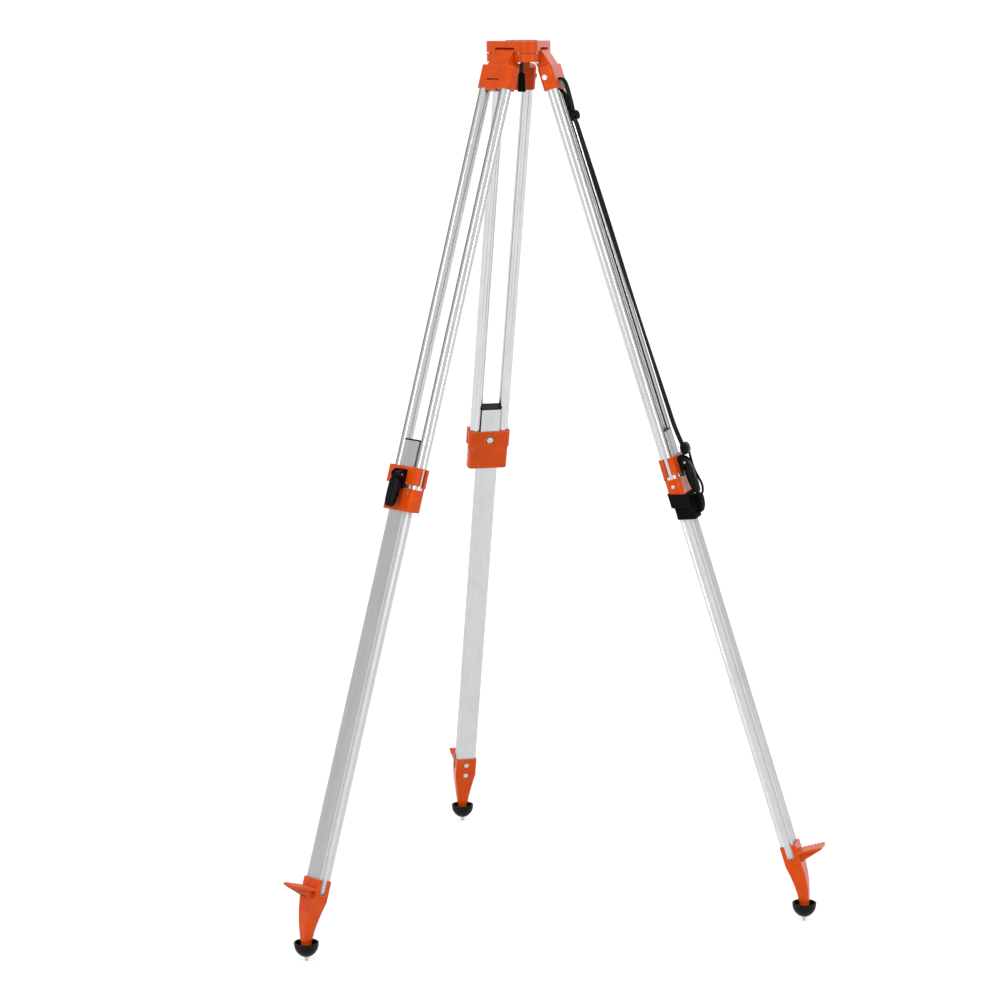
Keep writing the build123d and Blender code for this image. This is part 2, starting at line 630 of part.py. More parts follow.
def foot():
    """The foot casting: socket, pedal, and a body that tapers to a plumb neck in the boot."""
    body = leg_plane() * (foot_socket() + pedal())
    body = body + loft(foot_sections(), ruled=True)
    neck_bottom = BOOT_BOTTOM_Z + 6.7
    neck_points = [(0, neck_bottom), (NECK_R - 2.4, neck_bottom), (NECK_R - 0.4, neck_bottom + 6.0),
                   (NECK_R - 0.4, 39.0), (0, 39.0)]
    body = body + turned(neck_points, SPIKE_R_POS)
    half_d = INNER_D / 2 + 0.02
    half_w = INNER_W / 2 + 0.02
    socket_hole = leg_block(-half_d, half_d, -half_w, half_w, CHEEK_TOP - 5, INNER_BOTTOM)
    slot_off0 = SIDE_SLOT_OFF - SIDE_SLOT_HALF
    slot_off1 = SIDE_SLOT_OFF + SIDE_SLOT_HALF
    slot_centre = CHEEK_TOP + SIDE_SLOT_LENGTH - SIDE_SLOT_HALF
    side_slot = leg_block(slot_off0, slot_off1, -CHEEK_W, CHEEK_W, CHEEK_TOP - 5, slot_centre)
    side_slot = side_slot + rod_y(SIDE_SLOT_HALF, n_of(SIDE_SLOT_OFF), u_of(slot_centre), -CHEEK_W, CHEEK_W)
    body = body - leg_plane() * (socket_hole + side_slot)
    body = body - post(SPIKE_R, SPIKE_R_POS, 0, 0, 62)
    return body - leg_plane() * foot_screws()


def foot_screws():
    """Two screws through the inner cheek into the leg."""
    screws = []
    for down in (CHEEK_TOP + 14.0, CHEEK_TOP + 38.5):
        screw = rod_x(4.8, 0, u_of(down), n_of(CHEEK_IN - 1.8), n_of(CHEEK_IN))
        screw = screw - leg_block(CHEEK_IN - 2, CHEEK_IN - 1, -5, 5, down - 0.6, down + 0.6)
        screws.append(screw + rod_x(2.0, 0, u_of(down), n_of(CHEEK_IN), n_of(-INNER_D / 2)))
    return fused(screws)


def spike():
    shoulder = BOOT_BOTTOM_Z + 2
    return turned([(0, 0), (SPIKE_TIP_R, 0), (SPIKE_R, shoulder), (SPIKE_R, 60), (0, 60)], SPIKE_R_POS)


def boot():
    """The open rubber bowl round the spike."""
    depth = BOOT_RIM_Z - BOOT_BOTTOM_Z
    steps = 8
    outer = [(SPIKE_R, BOOT_BOTTOM_Z), (SPIKE_R + 2.0, BOOT_BOTTOM_Z)]
    inner = []
    for i in range(1, steps + 1):
        angle = math.radians(90 * i / steps)
        outer.append((7 + (BOOT_R - 7) * math.sin(angle) ** 1.15,
                      BOOT_BOTTOM_Z + (depth - 4) * (1 - math.cos(angle))))
        inner.append((7 + (BOOT_R - BOOT_WALL - 7) * math.sin(angle),
                      BOOT_BOTTOM_Z + 6 + (depth - 10) * (1 - math.cos(angle))))
    profile = outer + [(BOOT_R - 0.4, BOOT_RIM_Z), (BOOT_R - BOOT_WALL + 0.6, BOOT_RIM_Z)] + inner[::-1]
    return turned(profile + [(SPIKE_R, BOOT_BOTTOM_Z + 6)], SPIKE_R_POS)


# ---------------------------------------------------------------- strap on the right leg
def carry_strap():
    """Webbing looped through the bracket's strap slot, doubled to the slider, then taut to the buckle."""
    half = WEB_W / 2
    slot = (STRAP_SLOT_TOP + STRAP_SLOT_BOTTOM) / 2
    loop = ribbon([(13.6, 92), (13.6, 60), (8.1, 44), (8.1, slot), (14.6, slot), (15.6, 60), (16.4, 92)],
                  WEB_T, -half, half)
    run = ribbon([(16.0, 100), (18.2, 190), (25.6, 690), (31.5, 745)], WEB_T, -half, half)
    tail = ribbon([(34.0, 748), (40.5, 764), (43.0, 786), (42.0, 812), (36.5, 833), (30.0, 846)],
                  TAIL_T, 13.4, 17.4)
    return loop + run + tail


def strap_slider():
    """The three-bar slider that adjusts the strap."""
    frame = leg_block(13.6, 18.4, -17.5, 17.5, 84, 106)
    frame = fillet(frame.edges().filter_by(Axis.X), 3.0)
    for down in (88.0, 97.0):
        frame = frame - leg_block(10, 22, -13.5, 13.5, down, down + 5.0)
    return frame


def strap_buckle():
    """The rounded plastic end fitting of the strap, just above the lever."""
    profile = Pos(n_of(32.5), u_of(748.5), 0) * Ellipse(8.0, 11.5)
    return Rot(90, 0, 0) * Pos(0, 0, -17.4) * extrude(profile, amount=26.4)


def wrap(off0, off1, half_t, down0, down1, thickness, corner):
    """One turn of hook-and-loop webbing round the leg."""
    half_out = half_t + thickness
    outer = leg_block(off0 - thickness, off1 + thickness, -half_out, half_out, down0, down1)
    outer = fillet(outer.edges().filter_by(Axis.Z), corner + thickness)
    hole = leg_block(off0, off1, -half_t, half_t, down0 - 1, down1 + 1)
    return outer - fillet(hole.edges().filter_by(Axis.Z), corner)


def binding_strap():
    """Two turns of webbing, round the collar and below it, and the folded tail in front."""
    collar_off = COLLAR_HALF_D + 0.3
    upper = wrap(-collar_off, collar_off, COLLAR_W / 2 + 0.3, 820, 849, 2.6, COLLAR_CORNER - 0.5)
    lower = wrap(-INNER_D / 2 - 0.9, 18.2, INNER_W / 2 + 2.0, 847, 875, 2.6, 3.0)
    shelf = leg_block(COLLAR_HALF_D + 0.6, 17.7, -21, 21, COLLAR_BOTTOM + 0.5, 849)
    tail = leg_slab([(17.5, 842), (31.0, 842), (35.5, 851), (34.5, 862), (28.0, 872), (19.0, 873)], -11.0, 17.4)
    return upper + lower + shelf + tail


# ---------------------------------------------------------------- assembly
def head_nodes():
    return {
        "head_top": head_top(),
        "head_lower": head_lower(),
        "head_screws": head_screws(),
        "hinge_pins": hinge_pins(),
        "arm_pivot": arm_pivot(),
        "centring_arm": centring_arm(),
        "screw_cage": screw_cage(),
        "thrust_washer": thrust_washer(),
        "fixing_screw": fixing_screw(),
        "screw_grip": screw_grip(),
        "plumb_hook": plumb_hook(),
    }


def leg_nodes():
    """Every piece of one leg: drawn in the leg frame, and drawn plumb at azimuth 0."""
    screws = leg_screws()
    tilted = {
        "bracket": bracket(screws),
        "upper_tubes": upper_tubes(screws),
        "leg_screws": screws,
        "clamp_body": clamp_body(screws),
        "clamp_plate": clamp_plate(screws),
        "clamp_pad": clamp_pad(),
        "lever_base": lever_base(),
        "lever": lever(),
        "lever_pin": lever_pin(),
        "inner_leg": inner_leg(),
        "inner_cap": inner_cap(),
        "foot_screws": foot_screws(),
    }
    plumb = {
        "foot": foot(),
        "spike": spike(),
        "boot": boot(),
    }
    return tilted, plumb


def strap_nodes():
    return {
        "carry_strap": carry_strap(),
        "strap_slider": strap_slider(),
        "strap_buckle": strap_buckle(),
        "binding_strap": binding_strap(),
    }


def build():
    os.makedirs("parts", exist_ok=True)
    for name, shape in head_nodes().items():
        write(name, shape)
    tilted, plumb = leg_nodes()
    for leg, azimuth in LEG_AZIMUTHS.items():
        for name, shape in tilted.items():
            write(f"{leg}_{name}", place(azimuth, shape))
        for name, shape in plumb.items():
            write(f"{leg}_{name}", turn(azimuth, shape))
    for name, shape in strap_nodes().items():
        write(name, place(LEG_AZIMUTHS["right"], shape))


build()
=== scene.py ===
import json
import math

import bmesh
import bpy
from mathutils import Matrix, Vector


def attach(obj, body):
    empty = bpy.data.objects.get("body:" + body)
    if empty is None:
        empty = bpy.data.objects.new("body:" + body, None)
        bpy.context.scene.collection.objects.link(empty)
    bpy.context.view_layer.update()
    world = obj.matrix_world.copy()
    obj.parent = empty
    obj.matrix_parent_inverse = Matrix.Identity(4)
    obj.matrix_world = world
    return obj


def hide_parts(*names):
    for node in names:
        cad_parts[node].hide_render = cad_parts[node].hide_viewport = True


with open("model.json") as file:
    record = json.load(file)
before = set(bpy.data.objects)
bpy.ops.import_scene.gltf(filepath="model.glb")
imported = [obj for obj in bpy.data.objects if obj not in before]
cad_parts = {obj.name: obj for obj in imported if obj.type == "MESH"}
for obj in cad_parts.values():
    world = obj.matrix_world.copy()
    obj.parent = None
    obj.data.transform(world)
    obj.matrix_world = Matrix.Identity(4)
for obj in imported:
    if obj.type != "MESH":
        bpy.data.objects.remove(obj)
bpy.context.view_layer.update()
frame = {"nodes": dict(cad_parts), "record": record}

# Lengths are in metres and angles in degrees, except where a comment says millimetres.
MM = 0.001

# ---- stance of the legs, as the frame has it ----
LEGS = {"rear": 90.0, "left": 210.0, "right": 330.0}
LEG_TILT = 17.8
HINGE_R = 0.033
HINGE_Z = 1.6285
DATUM_R = 0.0548
DATUM_Z = 1.6
SPIKE_R = 0.5519
STRAP_LEG = "right"

# A leg's parts are measured from its datum, a point on its centre line, here placed in the leg's own frame.
TILT = math.radians(LEG_TILT)
DATUM_OUT = (DATUM_R - HINGE_R) * math.cos(TILT) + (DATUM_Z - HINGE_Z) * math.sin(TILT)
DATUM_UP = -(DATUM_R - HINGE_R) * math.sin(TILT) + (DATUM_Z - HINGE_Z) * math.cos(TILT)

# ---- camera ----
VIEW_TURN = -13.8218
CAMERA_POS = (0.0, -5.4915, 1.7341)
CAMERA_YAW = -0.462
CAMERA_PITCH = 9.801
CAMERA_ROLL = -0.291
CAMERA_LENS = 105.27
CAMERA_SENSOR = 36.0
CAMERA_NEAR = 0.05
CAMERA_FAR = 4000.0

# ---- studio ----
# name, azimuth from the camera's side, distance, height above the ground, (width, height), watts
SOFTBOXES = [("key_light", -42.0, 3.6, 1.8, (0.50, 2.4), 27.0),
             ("fill_light", 48.0, 3.4, 1.8, (0.24, 2.4), 24.0),
             ("back_light", 160.0, 3.2, 2.2, (1.6, 1.8), 2.0)]
SOFTBOX_AIM_Z = 0.9
SKY_LIGHT_STRENGTH = 1.0
SKY_LIGHT_SPREAD = 60.0
SKY_LIGHT_TURN = (18.0, -12.0, 0.0)
FLOOR_REACH = 2500.0
FLOOR_GREY = 0.46
FLOOR_ROUGHNESS = 0.9
FLOOR_GLOW = 0.66
# grey of the dome's walls, from the camera's side (0) to behind the object (1)
WALL_GREYS = [(0.0, 0.95), (0.30, 0.86), (0.56, 0.80), (0.66, 0.34), (0.87, 0.34), (0.925, 1.0), (1.0, 1.0)]
# share of the even grey over the walls, from the horizon and below it (0) to the top of the dome (1)
EVEN_SHARES = [(0.0, 1.0), (0.02, 0.0), (0.55, 0.0), (0.9, 1.0), (1.0, 1.0)]
EVEN_GREY = 0.74

# ---- tones of the materials, as (red, green, blue) ----
PAINT_DEEP = (0.57, 0.052, 0.001)
PAINT_BRIGHT = (0.65, 0.068, 0.002)
PAINT_SHEEN = (1.0, 0.30, 0.06)
PAINT_DUSTY = (0.66, 0.13, 0.03)
# light orange for the edges: partly rubbed paint, partly a painted highlight where rounded corners catch
# the light
PAINT_RUBBED_AND_HIGHLIGHT = (0.90, 0.32, 0.14)
PAINT_CHIPPED = (0.50, 0.46, 0.44)
# tone, roughness, stretch of the lines along the leg, depth of the lines
ALUMINIUM = {"bright_aluminium": ((0.64, 0.64, 0.65), 0.17, 60.0, 0.25),
             "satin_aluminium": ((0.60, 0.60, 0.61), 0.36, 40.0, 0.4)}
# the leg whose lines the aluminium in the head takes
HEAD_LINES_LEG = "right"
STEEL = (0.62, 0.62, 0.63)
STEEL_SHADE = (0.50, 0.50, 0.51)
BRASS = (0.72, 0.52, 0.24)
SLEEVE_BLACKS = ((0.002, 0.002, 0.002), (0.006, 0.006, 0.006))
PLASTIC_BLACKS = ((0.002, 0.002, 0.002), (0.005, 0.005, 0.005))
PLASTIC_WORN = (0.06, 0.06, 0.06)
RUBBER_BLACKS = ((0.002, 0.002, 0.002), (0.006, 0.006, 0.006))
RUBBER_DUST = (0.020, 0.019, 0.018)
FABRIC_BLACKS = ((0.0015, 0.0015, 0.0015), (0.009, 0.009, 0.009))
FABRIC_DUST = (0.014, 0.014, 0.013)
# pitch of the threads across, pitch of the ribs along, and how far a rib leans between threads
WEAVE_THREAD = 0.0016
WEAVE_RIB = 0.0018
WEAVE_LEAN = 0.0005
# where the fixing screw's blackened sleeve starts
SLEEVE_TOP_Z = 1.6262
SLEEVE_BLEND = 0.0004
# dot product of the bevelled and the true normal where the edge mask starts, and where it is full; the mask
# places wear, and on the paint a painted highlight too
EDGE_MASK_START = 0.97
EDGE_MASK_FULL = 0.80
BEVEL_SAMPLES = 6

# ---- clamp levers and bearing blocks, in millimetres off and down from the leg's datum ----
LEVER_PIVOT = (27.0, 773.0)
# down, back off, front off, half width
HANDLE_CORNERS = [(781.2, 25.2, 34.6, 9.6), (781.8, 24.4, 35.6, 10.5), (784.0, 23.4, 36.6, 10.9),
                  (790.0, 21.6, 37.4, 11.0), (798.0, 21.0, 37.8, 11.0), (810.0, 21.6, 38.1, 11.0),
                  (820.0, 23.2, 37.9, 10.9), (826.0, 24.8, 37.5, 10.5), (830.0, 26.4, 37.0, 9.8),
                  (832.6, 27.8, 36.3, 8.6), (834.2, 29.4, 35.3, 6.8), (835.0, 31.2, 34.0, 4.2)]
HANDLE_SQUARENESS = 2 / 4.2
HANDLE_POINTS = 48
HOLLOW_START = 790.0
HOLLOW_LENGTH = 36.0
HOLLOW_DEPTH = 0.7
HOLLOW_HALF_WIDTH = 6.4
NECK_OUTLINE = [(21.6, 776.0), (23.6, 780.6), (24.8, 785.0), (30.0, 786.4), (36.4, 785.0), (35.6, 780.6),
                (33.6, 773.4), (31.8, 769.4), (27.6, 766.7), (23.6, 768.0), (21.0, 771.4)]
NECK_HALF_WIDTH = 7.9
NECK_EDGE = 1.2
EAR_RADIUS = 7.7
EAR_ARC = (52.0, -120.0)
EAR_ARC_STEPS = 24
# the ear's outline above and below its arc: out from and up from the pivot
EAR_SHOULDER = [(-11.6, 11.4), (-2.0, 11.2), (2.0, 9.8)]
EAR_WEB = [(-6.8, -15.0), (-8.0, -19.0), (-11.6, -23.2)]
EAR_SIDE = 9.85
EAR_HALF_WIDTH = 1.5
EAR_EDGE = 1.0
PLATE_OFFS = (15.35, 18.2)
PLATE_HALVES = (11.4, 18.0)
PLATE_CORNER = 4.0
PLATE_DROP = 6.0
PLATE_EDGE = 0.7
WINDOW_HALVES = (6.3, 7.3)
WINDOW_CORNER = 1.0

# ---- boots, as (radius, height); a bowl is what its wall adds to its foot ----
BOOT_SEGMENTS = 96
BOOT_SOCKET_FOOT = (0.0052, 0.0098)
BOOT_FOOT = (0.0070, 0.0095)
BOOT_BOWL = (0.0157, 0.0225)
BOOT_FULLNESS = 1.45
BOOT_STEPS = 18
BOOT_RING_DEPTH = 0.00022
BOOT_RING_PACE = 2.1
BOOT_RING_STEPS = range(4, 15)
BOOT_RIM = [(0.02285, 0.0334), (0.0230, 0.0344), (0.02285, 0.0354), (0.0222, 0.0360), (0.0212, 0.0360),
            (0.0203, 0.0355), (0.0198, 0.0346)]
BOOT_FLOOR = (0.0078, 0.0156)
BOOT_HOLLOW = (0.0116, 0.0172)
BOOT_HOLLOW_STEPS = 12
BOOT_SOCKET_TOP = (0.0052, 0.0154)

# ---- grip of the fixing screw, as (radius, height); its flare is the radius gained and the length ----
GRIP_SEGMENTS = 192
GRIP_SHOULDER = [(0.0033, 1.5908), (0.0050, 1.5909), (0.0057, 1.5905), (0.0061, 1.5896)]
GRIP_TOP = (0.0062, 1.5886)
GRIP_FLARE = (0.0016, 0.0296)
GRIP_FLARE_POWER = 0.72
GRIP_STEPS = 22
GRIP_LIP = [(0.00785, 1.5582), (0.00785, 1.5572), (0.0076, 1.5564), (0.0070, 1.5561), (0.0062, 1.5562),
            (0.0057, 1.5568), (0.0056, 1.5600), (0.0056, 1.5680), (0.0033, 1.5681)]
# count, depth, low z, high z
GRIP_FLUTES = (16, 0.00022, 1.5600, 1.5870)
FLUTE_FADE = 0.4

# ---- carrying strap; courses in millimetres off and down from the leg's datum ----
LOOP_COURSE = [(14.5, 103.2), (14.3, 97.0), (13.9, 88.0), (13.7, 76.0), (13.6, 63.0), (11.8, 53.0),
               (8.7, 45.0), (8.1, 38.0), (8.1, 28.0), (8.7, 25.0), (10.4, 23.75), (12.6, 23.75),
               (15.2, 24.3), (17.6, 26.8), (19.6, 32.0), (20.6, 41.0), (20.4, 55.0), (19.7, 70.0),
               (18.6, 84.0), (17.5, 92.0), (16.6, 97.5)]
RUN_COURSE = [(14.9, 94.8), (15.2, 98.4), (17.0, 108.0), (17.9, 125.0), (19.5, 261.0), (22.2, 456.0),
              (25.2, 652.0), (26.2, 700.0), (30.0, 738.0), (31.6, 748.0)]
FOLD_COURSE = [(14.2, 99.6), (17.6, 103.6), (22.0, 103.4), (24.6, 98.6), (24.0, 91.6), (20.2, 88.0),
               (17.6, 89.6)]
TAIL_COURSE = [(34.0, 748.5), (34.8, 757.0), (34.4, 768.0), (34.0, 782.0), (35.0, 796.0), (37.8, 810.0),
               (40.0, 822.0), (38.8, 833.0), (34.4, 841.0), (30.6, 848.0)]
TAB_COURSE = [(31.6, 750.0), (30.4, 756.2), (27.0, 759.4), (22.4, 760.2), (18.0, 760.2)]
TAIL_SIDE = 15.2
# (width, thickness) in metres
WEBBING_SIZE = (0.025, 0.0016)
TAIL_SIZE = (0.0044, 0.0032)
TAB_SIZE = (0.021, 0.0034)
# the long run's greatest turn about its course, in radians, and its waves
RUN_LIE = 0.10
RUN_LIE_WAVES = 1.2
# the slider's and the end fitting's places in millimetres, and the radii of the slider's bars in metres
SLIDER_CENTRE = (16.0, 95.0)
SLIDER_HALVES = (15.5, 9.0)
SLIDER_CORNER = 4.0
SLIDER_BAR_SIDES = (-14.8, -9.0, -3.0, 3.0, 9.0, 14.8)
SLIDER_FRAME_RADII = (0.0023, 0.0019)
SLIDER_BAR_RADII = (0.0018, 0.0019)
BAR_SQUARENESS = 0.7
BAR_POINTS = 14
FITTING_CENTRE = (32.5, 748.5)
FITTING_HALVES = (7.9, 11.4)
FITTING_SIDES = (-8.9, 17.3)
FITTING_SQUARENESS = 0.9
FITTING_RINGS = 44
FITTING_POINTS = 40
FITTING_END_SCALE = 0.55
FITTING_END_POWER = 7
# half widths and place of its parting line and grooves, from the middle of its length (0) to its ends (0.5)
FITTING_PARTING = 0.012
FITTING_GROOVE = 0.3
FITTING_GROOVE_HALF = 0.02
FITTING_GROOVE_SCALE = 0.965

# ---- binding strap, in millimetres as above, with each (width, thickness) in metres ----
# half off, half side, corner, centre off, down, sag
UPPER_TURN = (15.4, 40.8, 9.0, 0.0, 833.0, 0.5)
LOWER_TURN = (16.6, 22.0, 3.8, 2.6, 858.0, -0.6)
UPPER_TURN_SIZE = (0.0265, 0.0013)
LOWER_TURN_SIZE = (0.0270, 0.0013)
# first point on the ring, points of overlap, outward growth over the turn, and drop at the front
TURN_START = 30
TURN_OVERLAP = 9
TURN_GROWTH = 0.06
TURN_FRONT_DROP = 4.2
BINDING_SIDE = 3.2
BINDING_TAIL = [(17.0, 834.0), (21.0, 836.6), (27.0, 836.8), (32.8, 838.2), (35.6, 845.0), (35.0, 854.0),
                (33.2, 862.6), (28.6, 870.6), (23.0, 872.0)]
BINDING_TAIL_SIZE = (0.027, 0.0015)
LAYER_OUTLINE = [(20.0, 839.2), (30.4, 839.8), (33.4, 846.0), (32.8, 857.0), (28.2, 867.6), (21.4, 869.6),
                 (19.0, 860.0), (18.9, 849.0)]
LAYER_CENTRE = (25.6, 855.0)
LAYER_COUNT = 5
LAYER_SHRINK = 0.2
LAYER_SHIFT = 0.4
LAYER_SIZE = (0.0262, 0.0021)
LAYER_NARROWING = 0.0008

# one face of a webbing's section, as shares of its width and thickness, with a thicker rib at each edge
BAND_FACE = [(-0.5, -0.30), (-0.485, -0.5), (-0.44, -0.56), (-0.38, -0.5), (-0.2, -0.5), (0.0, -0.5),
             (0.2, -0.5), (0.38, -0.5), (0.44, -0.56), (0.485, -0.5), (0.5, -0.30)]

# ---- fineness of the meshes ----
COURSE_STEP = 0.0012
FOLD_STEP = 0.0010
RUN_STEP = 0.002
CORNER_STEPS = 8
EDGE_SEGMENTS = 3
EDGE_ANGLE = 35.0


# ---------------------------------------------------------------- node and colour kit
def add_node(tree, kind, inputs=(), **settings):
    """A node with its settings, and its inputs as (index or name, value or socket) pairs."""
    node = tree.nodes.new(kind)
    for key, value in settings.items():
        setattr(node, key, value)
    for key, value in inputs:
        if isinstance(value, bpy.types.NodeSocket):
            tree.links.new(value, node.inputs[key])
        else:
            node.inputs[key].default_value = value
    return node


def opaque(tone):
    """A (red, green, blue) tone with full alpha."""
    return (*tone, 1.0)


def opaque_grey(value):
    return opaque((value, value, value))


# ---------------------------------------------------------------- camera and stage
def make_camera():
    """The studio camera, a little above the tripod's head and looking slightly down."""
    yaw, pitch, roll = (math.radians(a) for a in (CAMERA_YAW, CAMERA_PITCH, CAMERA_ROLL))
    forward = Vector((math.sin(yaw) * math.cos(pitch), math.cos(yaw) * math.cos(pitch), -math.sin(pitch)))
    level = Vector((math.cos(yaw), -math.sin(yaw), 0.0))
    upright = level.cross(forward)
    right = level * math.cos(roll) + upright * math.sin(roll)
    up = upright * math.cos(roll) - level * math.sin(roll)
    look = Matrix((right, up, -forward)).transposed().to_4x4()
    data = bpy.data.cameras.new("studio_camera")
    data.lens = CAMERA_LENS
    data.sensor_width = CAMERA_SENSOR
    data.clip_start = CAMERA_NEAR
    data.clip_end = CAMERA_FAR
    camera = bpy.data.objects.new("studio_camera", data)
    bpy.context.scene.collection.objects.link(camera)
    turn = Matrix.Rotation(math.radians(VIEW_TURN), 4, "Z")
    camera.matrix_world = turn @ Matrix.Translation(CAMERA_POS) @ look
    bpy.context.scene.camera = camera


def make_softbox(name, azimuth, distance, height, size, power):
    """A rectangular light aimed at the object; azimuth is where it stands, from the camera's side."""
    data = bpy.data.lights.new(name, "AREA")
    data.shape = "RECTANGLE"
    data.size, data.size_y = size
    data.energy = power
    angle = math.radians(VIEW_TURN - 90.0 + azimuth)
    light = bpy.data.objects.new(name, data)
    light.location = (distance * math.cos(angle), distance * math.sin(angle), height)
    toward = Vector((0.0, 0.0, SOFTBOX_AIM_Z)) - light.location
    light.rotation_euler = toward.to_track_quat("-Z", "Y").to_euler()
    bpy.context.scene.collection.objects.link(light)


def make_sky_light():
    """A wide, soft light from above."""
    data = bpy.data.lights.new("sky_light", "SUN")
    data.energy = SKY_LIGHT_STRENGTH
    data.angle = math.radians(SKY_LIGHT_SPREAD)
    light = bpy.data.objects.new("sky_light", data)
    light.rotation_euler = [math.radians(a) for a in SKY_LIGHT_TURN]
    bpy.context.scene.collection.objects.link(light)


def grey_ramp(tree, value, stops):
    """A colour ramp through greys, from (position, grey) stops."""
    ramp = add_node(tree, "ShaderNodeValToRGB", [(0, value)])
    ramp.color_ramp.elements[0].position = stops[0][0]
    ramp.color_ramp.elements[1].position = stops[-1][0]
    for position, _ in stops[1:-1]:
        ramp.color_ramp.elements.new(position)
    for element, (_, tone) in zip(ramp.color_ramp.elements, stops):
        element.color = opaque_grey(tone)
    return ramp.outputs[0]


def make_world():
    """A dome: white behind the object, dark walls to its left and right, and pale towards the camera."""
    world = bpy.data.worlds.new("studio")
    bpy.context.scene.world = world
    world.use_nodes = True
    tree = world.node_tree
    tree.nodes.clear()
    coords = add_node(tree, "ShaderNodeTexCoord").outputs["Generated"]
    back_turn = (0.0, 0.0, math.radians(-VIEW_TURN))
    turned = add_node(tree, "ShaderNodeMapping", [(0, coords), (2, back_turn)]).outputs[0]
    x, y, z = add_node(tree, "ShaderNodeSeparateXYZ", [(0, turned)]).outputs[:]
    flat = add_node(tree, "ShaderNodeCombineXYZ", [(0, x), (1, y), (2, 0.0)]).outputs[0]
    unit = add_node(tree, "ShaderNodeVectorMath", [(0, flat)], operation="NORMALIZE").outputs[0]
    away = add_node(tree, "ShaderNodeSeparateXYZ", [(0, unit)]).outputs[1]
    share = add_node(tree, "ShaderNodeMath", [(0, away), (1, 0.5), (2, 0.5)], operation="MULTIPLY_ADD")
    walls = grey_ramp(tree, share.outputs[0], WALL_GREYS)
    even = grey_ramp(tree, z, EVEN_SHARES)
    mixed = [(0, even), (6, walls), (7, opaque_grey(EVEN_GREY))]
    dome = add_node(tree, "ShaderNodeMix", mixed, data_type="RGBA")
    background = add_node(tree, "ShaderNodeBackground", [(0, dome.outputs[2])])
    output = add_node(tree, "ShaderNodeOutputWorld")
    tree.links.new(background.outputs[0], output.inputs[0])


def make_floor():
    """A wide, pale floor that glows a little, so that it runs into the dome without a visible edge."""
    mesh = bpy.data.meshes.new("studio_floor")
    far = FLOOR_REACH
    mesh.from_pydata([(-far, -far, 0), (far, -far, 0), (far, far, 0), (-far, far, 0)], [], [(0, 1, 2, 3)])
    floor = bpy.data.objects.new("studio_floor", mesh)
    bpy.context.scene.collection.objects.link(floor)
    surface = Surface("studio_floor").set(Base_Color=opaque_grey(FLOOR_GREY), Roughness=FLOOR_ROUGHNESS,
                                          Specular_IOR_Level=0.0, Emission_Color=opaque_grey(1.0),
                                          Emission_Strength=FLOOR_GLOW)
    mesh.materials.append(surface.material)
    floor.visible_diffuse = False


def make_stage():
    """The floor, the dome and the lights, with plain colour handling."""
    make_floor()
    make_world()
    for softbox in SOFTBOXES:
        make_softbox(*softbox)
    make_sky_light()
    bpy.context.scene.view_settings.view_transform = "Standard"


# ---------------------------------------------------------------- materials
class Surface:
    """A material made of a Principled shader and the nodes that feed it."""

    def __init__(self, name):
        self.material = bpy.data.materials.new(name)
        self.material.use_nodes = True
        self.tree = self.material.node_tree
        self.shader = self.tree.nodes["Principled BSDF"]
        self.coords = add_node(self.tree, "ShaderNodeTexCoord").outputs["Object"]

    def set(self, **values):
        """Constant inputs of the shader, with an underscore for each space."""
        for key, value in values.items():
            self.shader.inputs[key.replace("_", " ")].default_value = value
        return self

    def wire(self, **sockets):
        """Inputs of the shader that nodes feed; gives back the finished material."""
        for key, socket in sockets.items():
            self.tree.links.new(socket, self.shader.inputs[key.replace("_", " ")])
        return self.material

    def along_leg(self, azimuth, stretch):
        """Coordinates turned into a leg's own frame and stretched along the leg."""
        coords = self.coords
        rotation, scale = 2, 3
        for index, value in ((rotation, (0, 0, -math.radians(azimuth))), (rotation, (0, TILT, 0)),
                             (scale, (1, 1, 1 / stretch))):
            coords = add_node(self.tree, "ShaderNodeMapping", [(0, coords), (index, value)]).outputs[0]
        return coords

    def noise(self, scale, detail=3.0, rough=0.5, coords=None):
        inputs = [(0, coords or self.coords), ("Scale", scale), ("Detail", detail), ("Roughness", rough)]
        return add_node(self.tree, "ShaderNodeTexNoise", inputs).outputs[0]

    def ramp(self, value, low, high, out_low=0.0, out_high=1.0):
        """The value's range low to high, mapped onto out_low to out_high and held at its ends."""
        inputs = [(0, value), (1, low), (2, high), (3, out_low), (4, out_high)]
        return add_node(self.tree, "ShaderNodeMapRange", inputs).outputs[0]

    def math(self, operation, first, second=0.0):
        inputs = [(0, first), (1, second)]
        return add_node(self.tree, "ShaderNodeMath", inputs, operation=operation).outputs[0]

    def mix(self, factor, first, second):
        """A colour mix; colours are (red, green, blue) or sockets."""
        first, second = (opaque(c) if isinstance(c, tuple) else c for c in (first, second))
        inputs = [(0, factor), (6, first), (7, second)]
        return add_node(self.tree, "ShaderNodeMix", inputs, data_type="RGBA").outputs[2]

    def edges(self, radius):
        """(rounded normal, mask of edges) from the shape of the piece itself; the mask places wear, and on
        the paint a painted highlight as well.
        """
        bevel = add_node(self.tree, "ShaderNodeBevel", [("Radius", radius)], samples=BEVEL_SAMPLES)
        rounded = bevel.outputs[0]
        true = add_node(self.tree, "ShaderNodeNewGeometry").outputs["Normal"]
        both = [(0, rounded), (1, true)]
        same = add_node(self.tree, "ShaderNodeVectorMath", both, operation="DOT_PRODUCT").outputs["Value"]
        return rounded, self.ramp(same, EDGE_MASK_START, EDGE_MASK_FULL)

    def bump(self, height, distance, strength, normal=None):
        inputs = [("Height", height), ("Distance", distance), ("Strength", strength)]
        if normal is not None:
            inputs.append(("Normal", normal))
        return add_node(self.tree, "ShaderNodeBump", inputs).outputs[0]


